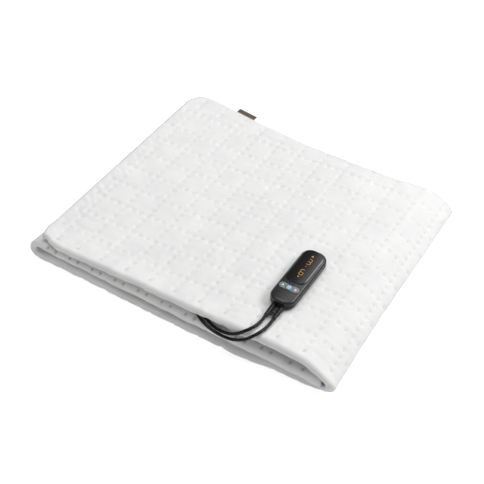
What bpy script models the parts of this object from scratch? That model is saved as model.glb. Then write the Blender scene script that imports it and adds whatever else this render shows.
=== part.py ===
"""Electric heated blanket, folded, with its hand controller, two cords and mains plug.

A single bed blanket of quilted fleece is folded in half, with the fold at the front and both hems at
the back, and then folded in three like a letter. The controller lies on top. Its two cords hang over
the front edge and go in under the top panel, where the spare mains cord, its plug and the blanket's
socket are put away. Lengths here are in millimetres and placed() turns them into metres.
"""

import math

import bmesh
import bpy
from mathutils import Matrix, Vector

MM = 0.001

# The folded blanket. x runs from the left fold's tip, y from the front folds, z from the floor.
CLOTH = 6.0  # fleece, wadding and fleece at the top of a puff
LEAF_GAP = 1.6  # air between the two leaves of one panel
PANEL_GAP = 0.9
PANEL = 2 * CLOTH + LEAF_GAP
TOP_EDGE = 11.5  # bound free edge of the top panel
EDGE_DRAW = 7.0  # how much further in that edge lies at its front corner
EDGE_DRAW_FADE = 28.0
EDGE_DRAW_SPREAD = 40.0
MIDDLE_EDGE = 463.0  # bound free edge of the middle panel's upper leaf, inside the right fold
MIDDLE_FREE = 400.0  # where the middle panel starts to reach out towards that edge
MIDDLE_SLANT = 10.0  # how much further right the middle panel's lower leaf reaches
UPPER_DRAW = 12.0  # how much further right the two leaves reach at the front
LOWER_DRAW = 7.0
LEFT_TURN = 15.0  # where the left fold starts to turn
RIGHT_TURN = 447.0
LEFT_LEAVES_APART = 1.6
HOLLOW = 6.0  # extra air in the throat of the left fold
HOLLOW_REACH = 22.0
CORNER = 28.0  # the cloth's rounded corner
OUTER_FOLD_REACH = 42.7
INNER_FOLD_REACH = 31.0
FOLD_LEAN = 0.55  # how much the right fold sags outwards at its foot
LEFT_FLARE = 4.2  # how much further the folds reach at the front
OUTER_FLARE = 3.8
INNER_FLARE = 7.0
FLARE_FADE = 75.0
NOSE_FLAT = 8.0  # the front folds are full this deep, and thin out over the next stretch
NOSE_FADE = 26.0
NOSE_STEPS = 8

# Heights along the front folds, and of the slot between the middle and the top panel.
FRONT = (
    # x, bottom panel, middle panel, slot at the front, top panel, slot further in, top's setback
    (0, 17.5, 12.6, 0.9, 13.8, 0.9, 11.0),
    (18, 17.6, 12.7, 0.9, 13.8, 0.9, 9.6),
    (34, 18.0, 13.2, 0.9, 13.8, 0.9, 4.2),
    (60, 18.5, 13.8, 0.9, 13.8, 0.9, 2.5),
    (120, 17.0, 15.5, 1.0, 14.0, 0.9, 3.6),
    (200, 14.0, 21.0, 1.2, 14.2, 2.9, 4.2),
    (250, 13.6, 21.2, 2.2, 14.2, 6.8, 3.8),
    (290, 14.5, 18.3, 6.8, 14.3, 10.2, 3.2),
    (320, 15.0, 17.5, 6.8, 14.6, 12.8, 4.0),
    (360, 15.0, 18.0, 6.9, 15.3, 14.4, 4.3),
    (410, 14.5, 19.0, 8.6, 15.6, 14.4, 4.4),
    (450, 13.8, 17.2, 9.2, 14.4, 14.4, 5.0),
    (500, 12.8, 16.2, 8.0, 14.0, 14.4, 4.0),
)
MIDDLE_SETBACK = 2.6
BOTTOM_FRONT = (
    # x, the bottom panel's setback
    (0, 0.4),
    (340, 0.4),
    (375, 1.6),
    (400, 5.0),
    (430, 7.0),
    (500, 7.5),
)

# Where the back hem lies, seen from above.
BACK = (
    # x, y
    (0, 436.0),
    (50, 434.5),
    (90, 430.0),
    (135, 424.0),
    (190, 418.2),
    (240, 411.0),
    (290, 406.0),
    (340, 403.0),
    (385, 404.0),
    (430, 408.5),
    (450, 411.5),
    (470, 418.0),
    (490, 422.0),
    (510, 422.0),
)
LOWER_LEAF_BACK = 3.0  # the lower leaf's hem shows past the upper one
BACK_NOMINAL = 412.0
BACK_EASE = 357.0  # rows behind this line close up or open out to end on the hem
HEM = 6.0
HEM_PINCH = 0.55  # thickness of the bound edge, as a share of the cloth's
INNER_ROWS = (30, 50, 95, 160, 240, 320, 372)  # rows of the inner leaf, from the front

# Quilting: a square lattice of lines of pin-points, with a puff in each square.
PITCH = 40.9
FIRST_LINE_X = 38.0
FIRST_LINE_Y = 50.5
LINE_SINK = 0.80  # thickness on a line and on a crossing, as a share of the cloth's
CROSSING_SINK = 0.66

# Hand controller, lying along y on the top panel.
TOUCH = 0.3  # gap between pieces that touch
CONTROLLER_X = 382.0
CONTROLLER_Y = 121.5
CONTROLLER_LENGTH = 114.0
CONTROLLER_WIDTH = 38.5
FRONT_CORNER = 15.5
REAR_CORNER = 14.0
SEAM_Z = 8.2
SHELL_TOP_Z = 15.6
SHELL_ROUND = 4.0
BASE_ROUND = 4.5
WINDOW_WIDTH = 32.0
WINDOW_FRONT = -15.0  # from the controller's middle
WINDOW_REAR = 53.5
WINDOW_FRONT_CORNER = 11.0
WINDOW_REAR_CORNER = 12.0
WINDOW_DEPTH = 1.5
WINDOW_PROUD = 1.3
WINDOW_ROUND = 1.0
KEYPAD_Y = -27.8
KEYPAD_LENGTH = 31.6
KEYPAD_HEIGHT = 11.6
MIDDLE_KEY_RADIUS = 5.1
SIDE_KEY_X = 10.5
KEY_GAP = 0.4
KEY_PROUD = 0.5
KEY_DEPTH = 2.7
KEY_WELL = 3.4
KEY_ROUND = 0.5
KEY_BITE = 0.97  # how much of a side key's height the round hollow takes
CUT_PAST = 4.0  # how far a cutter stands out of the face that it cuts

# Cords and what is on them.
CORD = 4.6
CORD_STEP = 12.0
BOOT_SPACING = 12.1
BOOT_LENGTH = 24.0
BOOT_ROOT = 3.9
BOOT_TIP = 3.1
BOOT_RIBS = 5
BOOT_Z = 4.7
RIB_DEPTH = 0.55
BARS = (5.5, 14.5)  # from the controller's end
BAR_LENGTH = 3.2
BAR_THICK = 2.6
COIL_X = 408.0
COIL_Y = 178.0
COIL_LINE_RADIUS = 27.6
COIL_LAYERS = 2
COIL_WIDE = 5
COIL_ROUND = 1.6
COIL_SPARE = 0.2
TIE_WIDTH = 7.0
TIE_THICK = 0.8
TIE_TURN = 75.0  # round the coil from its front
PLUG_X = 364.0
PLUG_Y = 249.0
PLUG_WIDTH = 35.3
PLUG_LENGTH = 36.0
PLUG_THICK = 13.2
PLUG_RELIEF = 20.0
PLUG_ROUND = 2.2
PLUG_CORNER = 2.5
PLUG_WAIST = 0.72  # where the body narrows, as shares of its half width and its length
PLUG_SHOULDER = 0.42
PLUG_HIP = 0.12
PLUG_SLEEVE = ((-2.0, 5.2), (0.0, 5.2), (10.0, 4.4), (19.7, 3.2))  # distance and radius
PIN_LENGTH = 19.0
PIN_RADIUS = 2.0
PIN_SPACING = 18.6
PIN_TIP = ((1.2, 1.0), (0.3, 0.75), (0.0, 0.4))  # from the end, and the share of the radius
SOCKET_X = 437.0
SOCKET_Y = 268.0
SOCKET_LENGTH = 44.0
SOCKET_WIDTH = 27.0
SOCKET_THICK = 9.0
SOCKET_ROUND = 2.0
SOCKET_FRONT_CORNER = 5.0
SOCKET_REAR_CORNER = 7.0
SOCKET_SLEEVE = ((-6.75, 4.2), (0.0, 4.2), (19.7, 3.0))

# Woven label in the back hem.
LABEL_X = 113.8
LABEL_LENGTH = 37.0
LABEL_REACH = 10.5
LABEL_THICK = 1.3
LABEL_TURN = -7.0
LABEL_TILT = 8.0
LABEL_OUT = 1.1  # from the hem's line to the tab's sewn end
LABEL_ROUND = 0.3

# The frame's origin: the middle of the floor under the blanket, the label and the controller.
ORIGIN_X = 248.85
ORIGIN_Y = 220.4

# Each cord's route as x, y and the height of its middle over the floor.
MAINS_ROUTE = (
    (375.9, 39.9, 61.2),
    (376.1, 31.0, 60.8),
    (375.0, 20.8, 61.0),
    (371.8, 11.6, 61.1),
    (366.0, 4.4, 58.4),
    (357.8, 0.5, 52.0),
    (347.6, -0.4, 45.2),
    (335.0, 0.8, 39.8),
    (320.0, 3.6, 36.9),
    (305.0, 8.6, 36.9),
    (292.0, 17.0, 36.7),
    (283.6, 29.0, 35.1),
    (281.2, 45.0, 32.4),
    (285.0, 63.0, 31.2),
    (295.0, 83.0, 30.9),
    (311.0, 102.5, 30.9),
    (332.0, 121.5, 30.9),
    (359.0, 135.6, 30.8),
    (388.4, 141.2, 30.8),
)
LEAD_ROUTE = (
    (388.1, 39.9, 61.2),
    (388.2, 31.0, 60.8),
    (387.3, 19.6, 61.0),
    (384.2, 9.4, 61.1),
    (379.0, 1.6, 58.2),
    (371.2, -3.2, 52.0),
    (360.0, -5.0, 44.8),
    (346.0, -4.8, 39.2),
    (329.0, -3.0, 36.1),
    (312.0, 0.0, 35.6),
    (298.0, 4.6, 36.6),
    (286.5, 11.6, 36.9),
    (277.5, 20.5, 36.1),
    (270.8, 31.0, 34.6),
    (266.4, 44.0, 32.6),
    (264.8, 62.0, 31.2),
    (265.5, 95.0, 30.9),
    (270.5, 140.0, 30.9),
    (274.5, 190.0, 30.9),
    (277.5, 240.0, 30.9),
    (283.0, 285.0, 30.9),
    (296.0, 322.0, 30.9),
    (322.0, 349.0, 30.9),
    (358.0, 359.0, 30.9),
    (394.0, 353.0, 31.2),
    (421.0, 334.0, 31.8),
    (434.0, 311.0, 32.6),
    (437.0, 288.0, 32.9),
)
TAIL_ROUTE = (
    (388.4, 214.8, 35.2),
    (381.0, 215.3, 34.8),
    (373.0, 218.2, 34.2),
    (366.8, 224.6, 33.9),
    (364.2, 234.4, 34.3),
    (364.0, 249.0, 35.0),
)


def start_empty():
    for obj in list(bpy.data.objects):
        bpy.data.objects.remove(obj, do_unlink=True)


def new_collection(name):
    collection = bpy.data.collections.new(name)
    bpy.context.scene.collection.children.link(collection)
    return collection


def new_material(name, colour, roughness, metallic=0.0):
    material = bpy.data.materials.new(name)
    material.use_nodes = True
    shader = material.node_tree.nodes["Principled BSDF"]
    shader.inputs["Base Color"].default_value = (*colour, 1.0)
    shader.inputs["Roughness"].default_value = roughness
    shader.inputs["Metallic"].default_value = metallic
    return material


def placed(x, y, z):
    """A point of the blanket's own millimetres, in the frame's metres."""
    return Vector(((x - ORIGIN_X) * MM, (y - ORIGIN_Y) * MM, z * MM))


def add_mesh_object(name, mesh, collection, material=None):
    mesh.name = name
    obj = bpy.data.objects.new(name, mesh)
    collection.objects.link(obj)
    if material:
        mesh.materials.clear()
        mesh.materials.append(material)
    return obj


def as_cutter(obj):
    obj.hide_render = True
    obj.display_type = "WIRE"
    return obj


def add_boolean(obj, other, operation):
    modifier = obj.modifiers.new(operation.title(), "BOOLEAN")
    modifier.operation = operation
    modifier.object = other
    modifier.solver = "EXACT"


def add_bevel(obj, width, segments, limit_degrees=40.0):
    modifier = obj.modifiers.new("Bevel", "BEVEL")
    modifier.width = width * MM
    modifier.segments = segments
    modifier.limit_method = "ANGLE"
    modifier.angle_limit = math.radians(limit_degrees)


def smooth_between(table, column, x):
    """A column of a table read at x, along a smooth curve through its rows."""
    xs = [row[0] for row in table]
    values = [row[column] for row in table]
    x = min(max(x, xs[0]), xs[-1])
    right = next((i for i, edge in enumerate(xs) if edge >= x), len(xs) - 1)
    right = max(right, 1)
    left = right - 1

    def slope(i):
        before, after = max(i - 1, 0), min(i + 1, len(xs) - 1)
        return (values[after] - values[before]) / (xs[after] - xs[before])

    span = xs[right] - xs[left]
    t = (x - xs[left]) / span
    rise = values[right] - values[left]
    keep = values[left] + rise * t * t * (3 - 2 * t)
    return keep + span * t * (1 - t) * ((1 - t) * slope(left) - t * slope(right))


def fading(distance, fade):
    """1 at no distance, falling softly to 0."""
    return math.exp(-((distance / fade) ** 2))


def nose_share(v):
    """1 in the full front fold, falling to 0 further in."""
    return fading(max(v - NOSE_FLAT, 0.0), NOSE_FADE)


def blend(inside, front, share):
    return inside + (front - inside) * share


class Levels:
    """The heights of the three panels' faces over one point of the floor."""

    def __init__(self, x, v):
        share = nose_share(v)
        throat = HOLLOW * fading(x - LEFT_TURN, HOLLOW_REACH) * share
        self.bottom_top = blend(PANEL, smooth_between(FRONT, 1, x) - throat / 2, share)
        self.middle_low = self.bottom_top + PANEL_GAP + throat
        self.middle_top = self.middle_low + blend(PANEL, smooth_between(FRONT, 2, x), share)
        slot = blend(smooth_between(FRONT, 5, x), smooth_between(FRONT, 3, x), share)
        self.top_low = self.middle_top + slot
        self.top_top = self.top_low + blend(PANEL, smooth_between(FRONT, 4, x), share)


def right_fold(reach, low, high, angle):
    x = RIGHT_TURN + reach * math.cos(angle) * (1 - FOLD_LEAN * math.sin(angle))
    return x, low + (high - low) * (1 + math.sin(angle)) / 2


class Column:
    """One line of the folded cloth from hem to hem, at one place along the letter fold."""

    def __init__(self, part, place, quilt=None, hem=False):
        self.part = part
        self.place = place
        self.quilt = quilt
        self.hem = hem

    def leaves(self, v):
        """The outer and the inner leaf's middle as (x, z) pairs, this far from the front."""
        half = CLOTH / 2
        place = self.place
        flare = fading(v, FLARE_FADE)
        if self.part == "middle":
            levels = Levels(place, v)
            near = max(0.0, (place - MIDDLE_FREE) / (MIDDLE_EDGE - MIDDLE_FREE)) ** 2
            upper = place + near * UPPER_DRAW * flare
            lower = place + near * (MIDDLE_SLANT + LOWER_DRAW * flare)
            return (upper, levels.middle_top - half), (lower, levels.middle_low + half)
        if self.part == "left":
            levels = Levels(LEFT_TURN, v)
            outer_low, outer_high = half, levels.middle_top - half
            inner_low, inner_high = levels.bottom_top - half, levels.middle_low + half
            outer_reach = LEFT_TURN - half + LEFT_FLARE * flare
            inner_reach = outer_reach - CLOTH - LEFT_LEAVES_APART
            outer = (
                LEFT_TURN - outer_reach * math.cos(place),
                (outer_low + outer_high + (outer_high - outer_low) * math.sin(place)) / 2,
            )
            inner = (
                LEFT_TURN - inner_reach * math.cos(place),
                (inner_low + inner_high + (inner_high - inner_low) * math.sin(place)) / 2,
            )
            return outer, inner
        if self.part == "bottom":
            levels = Levels(place, v)
            return (place, half), (place, levels.bottom_top - half)
        if self.part == "right":
            levels = Levels(RIGHT_TURN, v)
            outer = right_fold(
                OUTER_FOLD_REACH + OUTER_FLARE * flare, half, levels.top_top - half, place
            )
            inner = right_fold(
                INNER_FOLD_REACH + INNER_FLARE * flare,
                levels.bottom_top - half,
                levels.top_low + half,
                place,
            )
            return outer, inner
        levels = Levels(place, v)
        drawn = EDGE_DRAW * fading(v, EDGE_DRAW_FADE) * fading(place - TOP_EDGE, EDGE_DRAW_SPREAD)
        return (place + drawn, levels.top_top - half), (place + drawn, levels.top_low + half)

    def setback(self):
        if self.part == "top":
            return smooth_between(FRONT, 6, self.place)
        if self.part == "middle":
            return MIDDLE_SETBACK
        if self.part == "bottom":
            return smooth_between(BOTTOM_FRONT, 1, self.place)
        low, high = smooth_between(BOTTOM_FRONT, 1, LEFT_TURN), MIDDLE_SETBACK
        if self.part == "right":
            low, high = smooth_between(BOTTOM_FRONT, 1, RIGHT_TURN), smooth_between(FRONT, 6, RIGHT_TURN)
        return blend(low, high, (1 + math.sin(self.place)) / 2)

    def back(self, x):
        """Where this column's hem lies, rounded at the cloth's two free corners."""
        hem = smooth_between(BACK, 1, x)
        inwards = CORNER
        if self.part == "top":
            inwards = self.place - TOP_EDGE
        if self.part == "middle":
            inwards = MIDDLE_EDGE - self.place
        if inwards < CORNER:
            hem -= CORNER - math.sqrt(CORNER**2 - (CORNER - inwards) ** 2)
        return hem


def edge_steps(edge, inwards):
    """Places near a free edge, close together where the bound edge is pinched and its corner round."""
    return [edge + inwards * step for step in (0.0, 2.5, 8.0, 16.0)]


def spread(first, last, count):
    return [first + (last - first) * i / count for i in range(count + 1)]


def blanket_columns():
    columns = [Column("middle", x, hem=i == 0) for i, x in enumerate(edge_steps(MIDDLE_EDGE, -1))]
    columns += [Column("middle", x) for x in spread(430.0, LEFT_TURN, 8)]
    columns += [Column("left", a) for a in spread(math.pi / 2, -math.pi / 2, 8)[1:-1]]
    columns += [Column("bottom", x) for x in spread(LEFT_TURN, RIGHT_TURN, 8)]
    columns += [Column("right", a) for a in spread(-math.pi / 2, math.pi / 2, 11)[1:-1]]
    lines = round((RIGHT_TURN - FIRST_LINE_X) / (PITCH / 2))
    columns += [
        Column("top", FIRST_LINE_X + i * PITCH / 2, quilt=i) for i in range(lines, -1, -1)
    ]
    columns += [Column("top", x, hem=x == TOP_EDGE) for x in reversed(edge_steps(TOP_EDGE, 1))]
    return columns


def blanket_rows():
    """Rows as (leaf, value, quilting line, on the hem): distances from the front, then nose angles."""
    half_pitch = PITCH / 2
    lines = range(-1, 17)
    outer = [("outer", FIRST_LINE_Y + i * half_pitch, i, False) for i in lines]
    outer += [("outer", BACK_NOMINAL - HEM, None, False), ("outer", BACK_NOMINAL, None, True)]
    nose = [("nose", angle, None, False) for angle in spread(math.pi / 2, -math.pi / 2, NOSE_STEPS)]
    inner = [("inner", v, None, False) for v in INNER_ROWS]
    inner += [("inner", BACK_NOMINAL - HEM, None, False), ("inner", BACK_NOMINAL, None, True)]
    return outer[::-1] + nose + inner


def cloth_point(column, row):
    kind, value, _, _ = row
    if kind == "nose":
        (x1, z1), (x2, z2) = column.leaves(NOSE_FLAT)
        radius = math.hypot(x1 - x2, z1 - z2) / 2
        lift = math.sin(value)
        y = column.setback() + CLOTH / 2 + radius * (1 - math.cos(value))
        return (x1 + x2 + (x1 - x2) * lift) / 2, y, (z1 + z2 + (z1 - z2) * lift) / 2
    side = 0 if kind == "outer" else 1
    x, _ = column.leaves(value)[side]
    y = value
    if value > BACK_EASE:
        hem = column.back(x) + LOWER_LEAF_BACK * side
        y = BACK_EASE + (value - BACK_EASE) * (hem - BACK_EASE) / (BACK_NOMINAL - BACK_EASE)
    x, z = column.leaves(y)[side]
    return x, y, z


def cloth_share(column, row):
    """How thick the cloth is here, as a share of a puff's."""
    kind, _, line, hem = row
    if hem or column.hem:
        return HEM_PINCH
    if kind != "outer" or column.quilt is None or line is None:
        return 1.0
    on_lines = (column.quilt % 2 == 0) + (line % 2 == 0)
    return (1.0, LINE_SINK, CROSSING_SINK)[on_lines]


def build_blanket(collection, material):
    """One sheet: a grid laid on the folds, given its thickness by Solidify."""
    columns, rows = blanket_columns(), blanket_rows()
    mesh = bpy.data.meshes.new("blanket")
    grid = bmesh.new()
    bmesh.ops.create_grid(grid, x_segments=len(columns) - 1, y_segments=len(rows) - 1, size=1.0)
    shares = grid.verts.layers.deform.verify()
    for vertex in grid.verts:
        i = round((vertex.co.x + 1) / 2 * (len(columns) - 1))
        j = round((vertex.co.y + 1) / 2 * (len(rows) - 1))
        vertex.co = placed(*cloth_point(columns[i], rows[j]))
        vertex[shares][0] = cloth_share(columns[i], rows[j])
    grid.to_mesh(mesh)
    grid.free()
    obj = add_mesh_object("blanket", mesh, collection, material)
    obj.vertex_groups.new(name="thickness")
    solidify = obj.modifiers.new("Solidify", "SOLIDIFY")
    solidify.thickness = CLOTH * MM
    solidify.offset = 0.0
    solidify.vertex_group = "thickness"
    mesh.polygons.foreach_set("use_smooth", [True] * len(mesh.polygons))
    return obj


def corner_arc(cx, cy, radius, start, steps=6):
    angles = [math.radians(start + 90.0 * i / steps) for i in range(steps + 1)]
    return [(cx + radius * math.cos(a), cy + radius * math.sin(a)) for a in angles]


def rounded_outline(width, front, rear, front_corner, rear_corner):
    """Corners of a rounded rectangle about x = 0, as seen from above, anticlockwise."""
    side = width / 2
    return (
        corner_arc(side - rear_corner, rear - rear_corner, rear_corner, 0)
        + corner_arc(-side + rear_corner, rear - rear_corner, rear_corner, 90)
        + corner_arc(-side + front_corner, front + front_corner, front_corner, 180)
        + corner_arc(side - front_corner, front + front_corner, front_corner, 270)
    )


def plate(name, outline, middle, low, high, collection, material=None):
    """A flat outline about a middle point, filled and extruded between two heights."""
    curve = bpy.data.curves.new(name, "CURVE")
    curve.dimensions = "2D"
    curve.fill_mode = "BOTH"
    curve.extrude = (high - low) / 2 * MM
    spline = curve.splines.new("POLY")
    spline.points.add(len(outline) - 1)
    for point, (x, y) in zip(spline.points, outline):
        point.co = (x * MM, y * MM, 0.0, 1.0)
    spline.use_cyclic_u = True
    guide = bpy.data.objects.new(name + "_outline", curve)
    collection.objects.link(guide)
    bpy.context.view_layer.update()
    graph = bpy.context.evaluated_depsgraph_get()
    mesh = bpy.data.meshes.new_from_object(guide.evaluated_get(graph))
    bpy.data.objects.remove(guide, do_unlink=True)
    welded = bmesh.new()
    welded.from_mesh(mesh)
    bmesh.ops.remove_doubles(welded, verts=welded.verts, dist=0.00001)
    bmesh.ops.dissolve_limit(
        welded, angle_limit=math.radians(0.5), verts=welded.verts, edges=welded.edges
    )
    bmesh.ops.recalc_face_normals(welded, faces=welded.faces)
    welded.to_mesh(mesh)
    welded.free()
    obj = add_mesh_object(name, mesh, collection, material)
    obj.location = placed(middle[0], middle[1], (low + high) / 2)
    return obj


def top_height(x, y):
    return Levels(x, y).top_top


def controller_floor():
    return top_height(CONTROLLER_X, CONTROLLER_Y) + TOUCH


def circle_outline(radius, steps, cx=0.0):
    angles = [math.tau * i / steps for i in range(steps)]
    return [(cx + radius * math.cos(a), radius * math.sin(a)) for a in angles]


def side_key_outline(side):
    """Half of the pill-shaped pad, hollowed round the middle key, about its own middle."""
    end = KEYPAD_HEIGHT / 2 - KEY_GAP
    far = KEYPAD_LENGTH / 2 - KEYPAD_HEIGHT / 2
    bite = MIDDLE_KEY_RADIUS + KEY_GAP
    opening = math.asin(min(KEY_BITE * end / bite, 1.0))
    outer = [math.pi / 2 - math.pi * i / 10 for i in range(11)]
    inner = [-opening + 2 * opening * i / 8 for i in range(9)]
    points = [(far + end * math.cos(a), end * math.sin(a)) for a in outer]
    points += [(bite * math.cos(a), bite * math.sin(a)) for a in inner]
    return [(side * (x - SIDE_KEY_X), y) for x, y in points]


def build_controller(collection, cutters, materials):
    floor = controller_floor()
    middle = (CONTROLLER_X, CONTROLLER_Y)
    front, rear = -CONTROLLER_LENGTH / 2, CONTROLLER_LENGTH / 2
    outline = rounded_outline(CONTROLLER_WIDTH, front, rear, FRONT_CORNER, REAR_CORNER)
    base = plate(
        "controller_base", outline, middle, floor, floor + SEAM_Z, collection, materials["base"]
    )
    round_rim(base, lower=True, width=BASE_ROUND)
    top = floor + SHELL_TOP_Z
    shell = plate(
        "controller_shell", outline, middle, floor + SEAM_Z + TOUCH, top, collection, materials["shell"]
    )
    round_rim(shell, lower=False, width=SHELL_ROUND)

    window = rounded_outline(
        WINDOW_WIDTH, WINDOW_FRONT, WINDOW_REAR, WINDOW_FRONT_CORNER, WINDOW_REAR_CORNER
    )
    recess = rounded_outline(
        WINDOW_WIDTH + 2 * TOUCH,
        WINDOW_FRONT - TOUCH,
        WINDOW_REAR + TOUCH,
        WINDOW_FRONT_CORNER,
        WINDOW_REAR_CORNER,
    )
    recess_cutter = plate("window_recess", recess, middle, top - WINDOW_DEPTH, top + CUT_PAST, cutters)
    add_boolean(shell, as_cutter(recess_cutter), "DIFFERENCE")
    window_low = top - WINDOW_DEPTH + TOUCH
    cover = plate(
        "display_window", window, middle, window_low, top + WINDOW_PROUD, collection, materials["window"]
    )
    round_rim(cover, lower=False, width=WINDOW_ROUND)

    pad_middle = (CONTROLLER_X, CONTROLLER_Y + KEYPAD_Y)
    end = KEYPAD_HEIGHT / 2
    well = rounded_outline(KEYPAD_LENGTH, -end, end, end - 0.01, end - 0.01)
    well_cutter = plate("key_well", well, pad_middle, top - KEY_WELL, top + CUT_PAST, cutters)
    add_boolean(shell, as_cutter(well_cutter), "DIFFERENCE")
    keys = (
        ("key_left", side_key_outline(-1), -SIDE_KEY_X),
        ("key_middle", circle_outline(MIDDLE_KEY_RADIUS, 24), 0.0),
        ("key_right", side_key_outline(1), SIDE_KEY_X),
    )
    for name, key_outline, key_x in keys:
        key_low = top + KEY_PROUD - KEY_DEPTH
        key_middle = (pad_middle[0] + key_x, pad_middle[1])
        key = plate(
            name, key_outline, key_middle, key_low, top + KEY_PROUD, collection, materials[name]
        )
        round_rim(key, lower=False, width=KEY_ROUND, segments=2)
    return shell


def round_rim(obj, lower, width, segments=4):
    """Rounds the rim of a plate's upper or lower face."""
    mesh = obj.data
    rim = bmesh.new()
    rim.from_mesh(mesh)
    heights = [vertex.co.z for vertex in rim.verts]
    level = min(heights) if lower else max(heights)
    edges = [
        edge for edge in rim.edges if all(abs(vertex.co.z - level) < 1e-6 for vertex in edge.verts)
    ]
    bmesh.ops.bevel(
        rim,
        geom=edges,
        offset=width * MM,
        offset_type="OFFSET",
        segments=segments,
        profile=0.5,
        affect="EDGES",
        clamp_overlap=True,
    )
    rim.to_mesh(mesh)
    rim.free()


def turned(name, profile, start, direction, collection, material=None, steps=16):
    """A solid of revolution from (distance, radius) pairs, lying along a horizontal direction."""
    mesh = bpy.data.meshes.new(name)
    line = bmesh.new()
    ends = [(profile[0][0], 0.0), *profile, (profile[-1][0], 0.0)]
    points = [line.verts.new((radius * MM, 0.0, -along * MM)) for along, radius in ends]
    for first, second in zip(points, points[1:]):
        line.edges.new((first, second))
    line.to_mesh(mesh)
    line.free()
    obj = add_mesh_object(name, mesh, collection, material)
    screw = obj.modifiers.new("Screw", "SCREW")
    screw.steps = screw.render_steps = steps
    screw.use_merge_vertices = True
    screw.merge_threshold = 0.00001
    heading = Vector((direction[0], direction[1], 0.0)).normalized()
    across = Vector((0.0, 0.0, 1.0)).cross(heading)
    turn = Matrix((across, Vector((0, 0, 1)), -heading)).transposed()
    if turn.determinant() < 0:
        turn = Matrix((-across, Vector((0, 0, 1)), -heading)).transposed()
    obj.matrix_world = Matrix.Translation(placed(*start)) @ turn.to_4x4()
    return obj


def boot_profile():
    """Ribs that step down from the root to the tip of a strain relief."""
    profile = []
    rib = BOOT_LENGTH / (BOOT_RIBS * 2)
    for i in range(BOOT_RIBS * 2):
        share = i / (BOOT_RIBS * 2 - 1)
        radius = blend(BOOT_ROOT, BOOT_TIP, share) - (RIB_DEPTH if i % 2 else 0.0)
        profile += [(i * rib, radius), ((i + 1) * rib, radius)]
    return profile


def box(name, low, high, collection, material=None):
    mesh = bpy.data.meshes.new(name)
    cube = bmesh.new()
    bmesh.ops.create_cube(cube, size=1.0)
    size = [b - a for a, b in zip(low, high)]
    bmesh.ops.scale(cube, vec=[side * MM for side in size], verts=cube.verts)
    cube.to_mesh(mesh)
    cube.free()
    obj = add_mesh_object(name, mesh, collection, material)
    obj.location = placed(*[(a + b) / 2 for a, b in zip(low, high)])
    return obj


def build_strain_relief(collection, cutters, materials):
    """Two ribbed sleeves, moulded in one with the two bars that join them."""
    z = controller_floor() + BOOT_Z
    root = CONTROLLER_Y - CONTROLLER_LENGTH / 2 - TOUCH
    half = BOOT_SPACING / 2
    relief = turned(
        "strain_relief",
        boot_profile(),
        (CONTROLLER_X - half, root, z),
        (0, -1),
        collection,
        materials["base"],
    )
    second = turned("second_sleeve", boot_profile(), (CONTROLLER_X + half, root, z), (0, -1), cutters)
    add_boolean(relief, as_cutter(second), "UNION")
    for number, along in enumerate(BARS):
        low = (CONTROLLER_X - half, root - along - BAR_LENGTH, z - BAR_THICK / 2)
        high = (CONTROLLER_X + half, root - along, z + BAR_THICK / 2)
        bar = box(f"relief_bar_{number}", low, high, cutters)
        add_boolean(relief, as_cutter(bar), "UNION")
    return relief


def smooth_line(route, step):
    """Points a step apart along a smooth curve through a route's points."""
    knots = [Vector(point) for point in route]
    fine = []
    for i in range(len(knots) - 1):
        before = knots[max(i - 1, 0)]
        after = knots[min(i + 2, len(knots) - 1)]
        start, end = knots[i], knots[i + 1]
        out_of = (end - before) / 2
        into = (after - start) / 2
        for k in range(20):
            t = k / 20
            a = start * (2 * t**3 - 3 * t**2 + 1) + end * (-2 * t**3 + 3 * t**2)
            fine.append(a + out_of * (t**3 - 2 * t**2 + t) + into * (t**3 - t**2))
    fine.append(knots[-1])
    length = sum((b - a).length for a, b in zip(fine, fine[1:]))
    count = max(round(length / step), 2)
    line, walked, target = [fine[0]], 0.0, length / count
    for a, b in zip(fine, fine[1:]):
        part = (b - a).length
        while walked + part >= target and len(line) < count:
            line.append(a.lerp(b, (target - walked) / part))
            target += length / count
        walked += part
    line.append(fine[-1])
    return line


def tube(name, route, collection, material):
    curve = bpy.data.curves.new(name, "CURVE")
    curve.dimensions = "3D"
    curve.bevel_depth = CORD / 2 * MM
    curve.bevel_resolution = 2
    curve.use_fill_caps = True
    line = smooth_line(route, CORD_STEP)
    spline = curve.splines.new("POLY")
    spline.points.add(len(line) - 1)
    for point, place in zip(spline.points, line):
        point.co = (*placed(*place), 1.0)
    obj = bpy.data.objects.new(name, curve)
    collection.objects.link(obj)
    curve.materials.append(material)
    return obj


def middle_top():
    """The face that the coil, the plug and the socket lie on."""
    return Levels(COIL_X, COIL_Y).middle_top


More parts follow.
